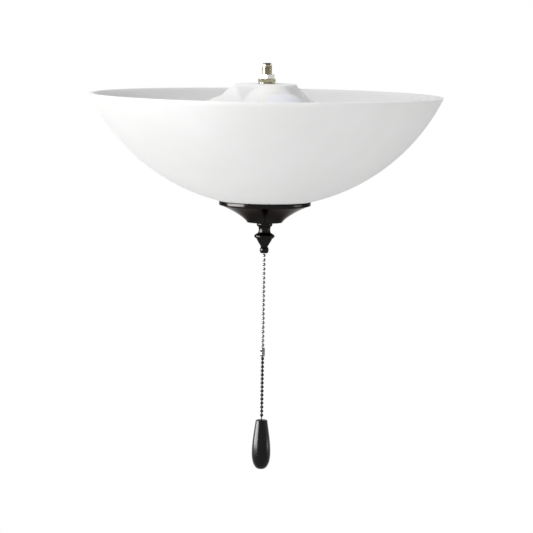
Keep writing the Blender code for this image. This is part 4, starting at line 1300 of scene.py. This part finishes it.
# The ring pressed into the pull's top, which catches the bead.
def makePullRing():
    bottom, top = heights("pull_retainer")
    wide, edge, bore, land = pullRing["radius"], pullRing["edge"], pullRing["bore"], pullRing["land"]
    outline = [
        (wide - edge, top),
        (wide, top - edge),
        (wide, bottom),
        (bore, bottom),
        (bore, bottom + land),
        (bore + pullRing["flare"], top),
    ]
    dress(turn("pullRing", outline, steps=48), "pull_retainer", smooth=30.0)


leads = {
    "radius": 0.9,
    "spread": 9.0,
    "depth": 3.0,
    "backReach": 3.5,
    "turnRadius": 14.0,
    "ringRadius": 2.2,  # of the six leads in the stem
    "ringTurn": 30.0,  # each way from their lampholder's bearing
    "belowStem": 2.1,
    "aboveStemEnd": 9.0,
    "rounding": 2.2,
    "roundingShare": 0.35,  # the most of a straight that a corner takes
}


# Each lampholder's two leads, from its back past the yoke and up into the stem.
def makeLeads():
    level = heights("threaded_nipple")[0] - leads["belowStem"]
    stemEnd = heights("threaded_nipple")[0] + leads["aboveStemEnd"]
    up = Vector((0.0, 0.0, 1.0))
    for index in range(len(lamp["azimuths"])):
        azimuth, droop = lamp["azimuths"][index] * deg, lamp["droops"][index] * deg
        outward = Vector((math.sin(azimuth), -math.cos(azimuth), 0.0))
        sideways = Vector((math.cos(azimuth), math.sin(azimuth), 0.0))
        along = outward * math.cos(droop) - up * math.sin(droop)
        start = lampMatrix(index).translation / mm
        for kind, side in (("black", -1), ("white", 1)):
            terminal = start + sideways * side * leads["spread"]
            bearing = azimuth + side * leads["ringTurn"] * deg
            inward = Vector((math.sin(bearing), -math.cos(bearing), 0.0)) * leads["ringRadius"]
            turning = outward * leads["turnRadius"] + sideways * side * leads["spread"]
            route = [
                terminal + along * leads["depth"],
                terminal - along * leads["backReach"],
                turning + up * level,
                inward * 2 + up * level,
                inward + up * (level + leads["ringRadius"]),
                inward + up * stemEnd,
            ]
            makeLead(f"{kind}Lead{index + 1}", f"{kind}_lead_{index + 1}", route)


# A route with each corner cut by two points, for a curve that bends as a wire does.
def softCorners(route, reach):
    line = [route[0]]
    for before, corner, after in zip(route, route[1:], route[2:]):
        for other in (before, after):
            span = (other - corner).length
            line.append(corner + (other - corner) * min(reach, leads["roundingShare"] * span) / span)
    line.append(route[-1])
    return line


def makeLead(name, node, route):
    points = softCorners(softCorners(route, leads["rounding"]), leads["rounding"] / 3)
    deselect()
    bpy.ops.curve.primitive_nurbs_path_add()
    lead = bpy.context.object
    lead.name = name
    curve = lead.data
    curve.splines.clear()
    spline = curve.splines.new("POLY")
    spline.points.add(len(points) - 1)
    for knot, point in zip(spline.points, points):
        knot.co = (*(point * mm), 1.0)
    curve.bevel_depth = leads["radius"] * mm
    curve.bevel_resolution = 4
    curve.use_fill_caps = True
    bpy.ops.object.convert(target="MESH")
    dress(bpy.context.object, node, smooth=50.0)


# Nodes whose shape is right keep it and take their finish.
def finishNodes():
    kept = [node for node in nodes.values() if not node.hide_render]
    for node in kept:
        for slot in node.material_slots:
            slot.material = finishes[slotOf[node.name]]
    print("kept from the frame:", ", ".join(sorted(node.name for node in kept)))


stage = {
    "floorHeight": -5.0,
    "floorReach": 14.0,
    "floorShade": 0.82,
    "floorRoughness": 0.9,
    "ambient": 0.55,
    "screen": 0.8,  # how much of the floor's look is its glow
    "glow": 1.16,
    "white": (1.0, 1.0, 1.0, 1.0),
}


# 1 for the rays that show the backdrop, 0 for the light that falls on the object.
def backdropRays(shader):
    camera = shader.node("ShaderNodeLightPath", output="Is Camera Ray")
    rays = camera.socket.node.outputs
    glossy = Wire(shader, rays["Is Glossy Ray"])
    through = Wire(shader, rays["Is Transmission Ray"])
    return camera + glossy + through


def makeFloor():
    deselect()
    bpy.ops.mesh.primitive_circle_add(
        vertices=96, radius=stage["floorReach"], fill_type="NGON", location=(0, 0, stage["floorHeight"])
    )
    floor = bpy.context.object
    floor.name = "floor"
    shader = Shader(bpy.data.materials.new("floor"))
    surface = Wire(shader, shader.tree.nodes["Principled BSDF"].outputs[0])
    shader.set(colour=rgb((stage["floorShade"],) * 3), roughness=stage["floorRoughness"])
    glow = shader.node("ShaderNodeEmission", {}, {"Color": stage["white"], "Strength": stage["glow"]})
    share = backdropRays(shader) * stage["screen"]
    mixed = shader.node("ShaderNodeMixShader", {}, {0: share, 1: surface, 2: glow})
    shader.join(shader.tree.nodes["Material Output"].inputs["Surface"], mixed)
    floor.data.materials.append(shader.material)


def makeWorld():
    world = bpy.data.worlds.new("studio")
    bpy.context.scene.world = world
    shader = Shader(world)
    shader.tree.nodes.clear()
    white = stage["white"]
    dim = shader.node("ShaderNodeBackground", {}, {"Color": white, "Strength": stage["ambient"]})
    bright = shader.node("ShaderNodeBackground", {}, {"Color": white, "Strength": 1.0})
    mixed = shader.node("ShaderNodeMixShader", {}, {0: backdropRays(shader), 1: dim, 2: bright})
    shader.node("ShaderNodeOutputWorld", {}, {"Surface": mixed})
    bpy.context.scene.view_settings.view_transform = "Standard"


setCamera()
setLamps()
makeFloor()
makeWorld()
print("camera, lamps and stage: done")
finishes = makeFinishes()
print("finishes:", len(finishes))
makeStem()
makeBushing()
makeStemNuts()
makeStarWasher()
print("stem: done")
makeFitter()
print("fitter: done")
makeLamps()
print("lamps: done")
makeBowl()
makeCap()
makeFinial()
print("bowl, cap and finial: done")
makeRod()
makeWashers()
print("rod: done")
makeChain()
makeCoupling()
makePull()
makePullRing()
print("chain and pull: done")
makeLeads()
print("leads: done")
finishNodes()
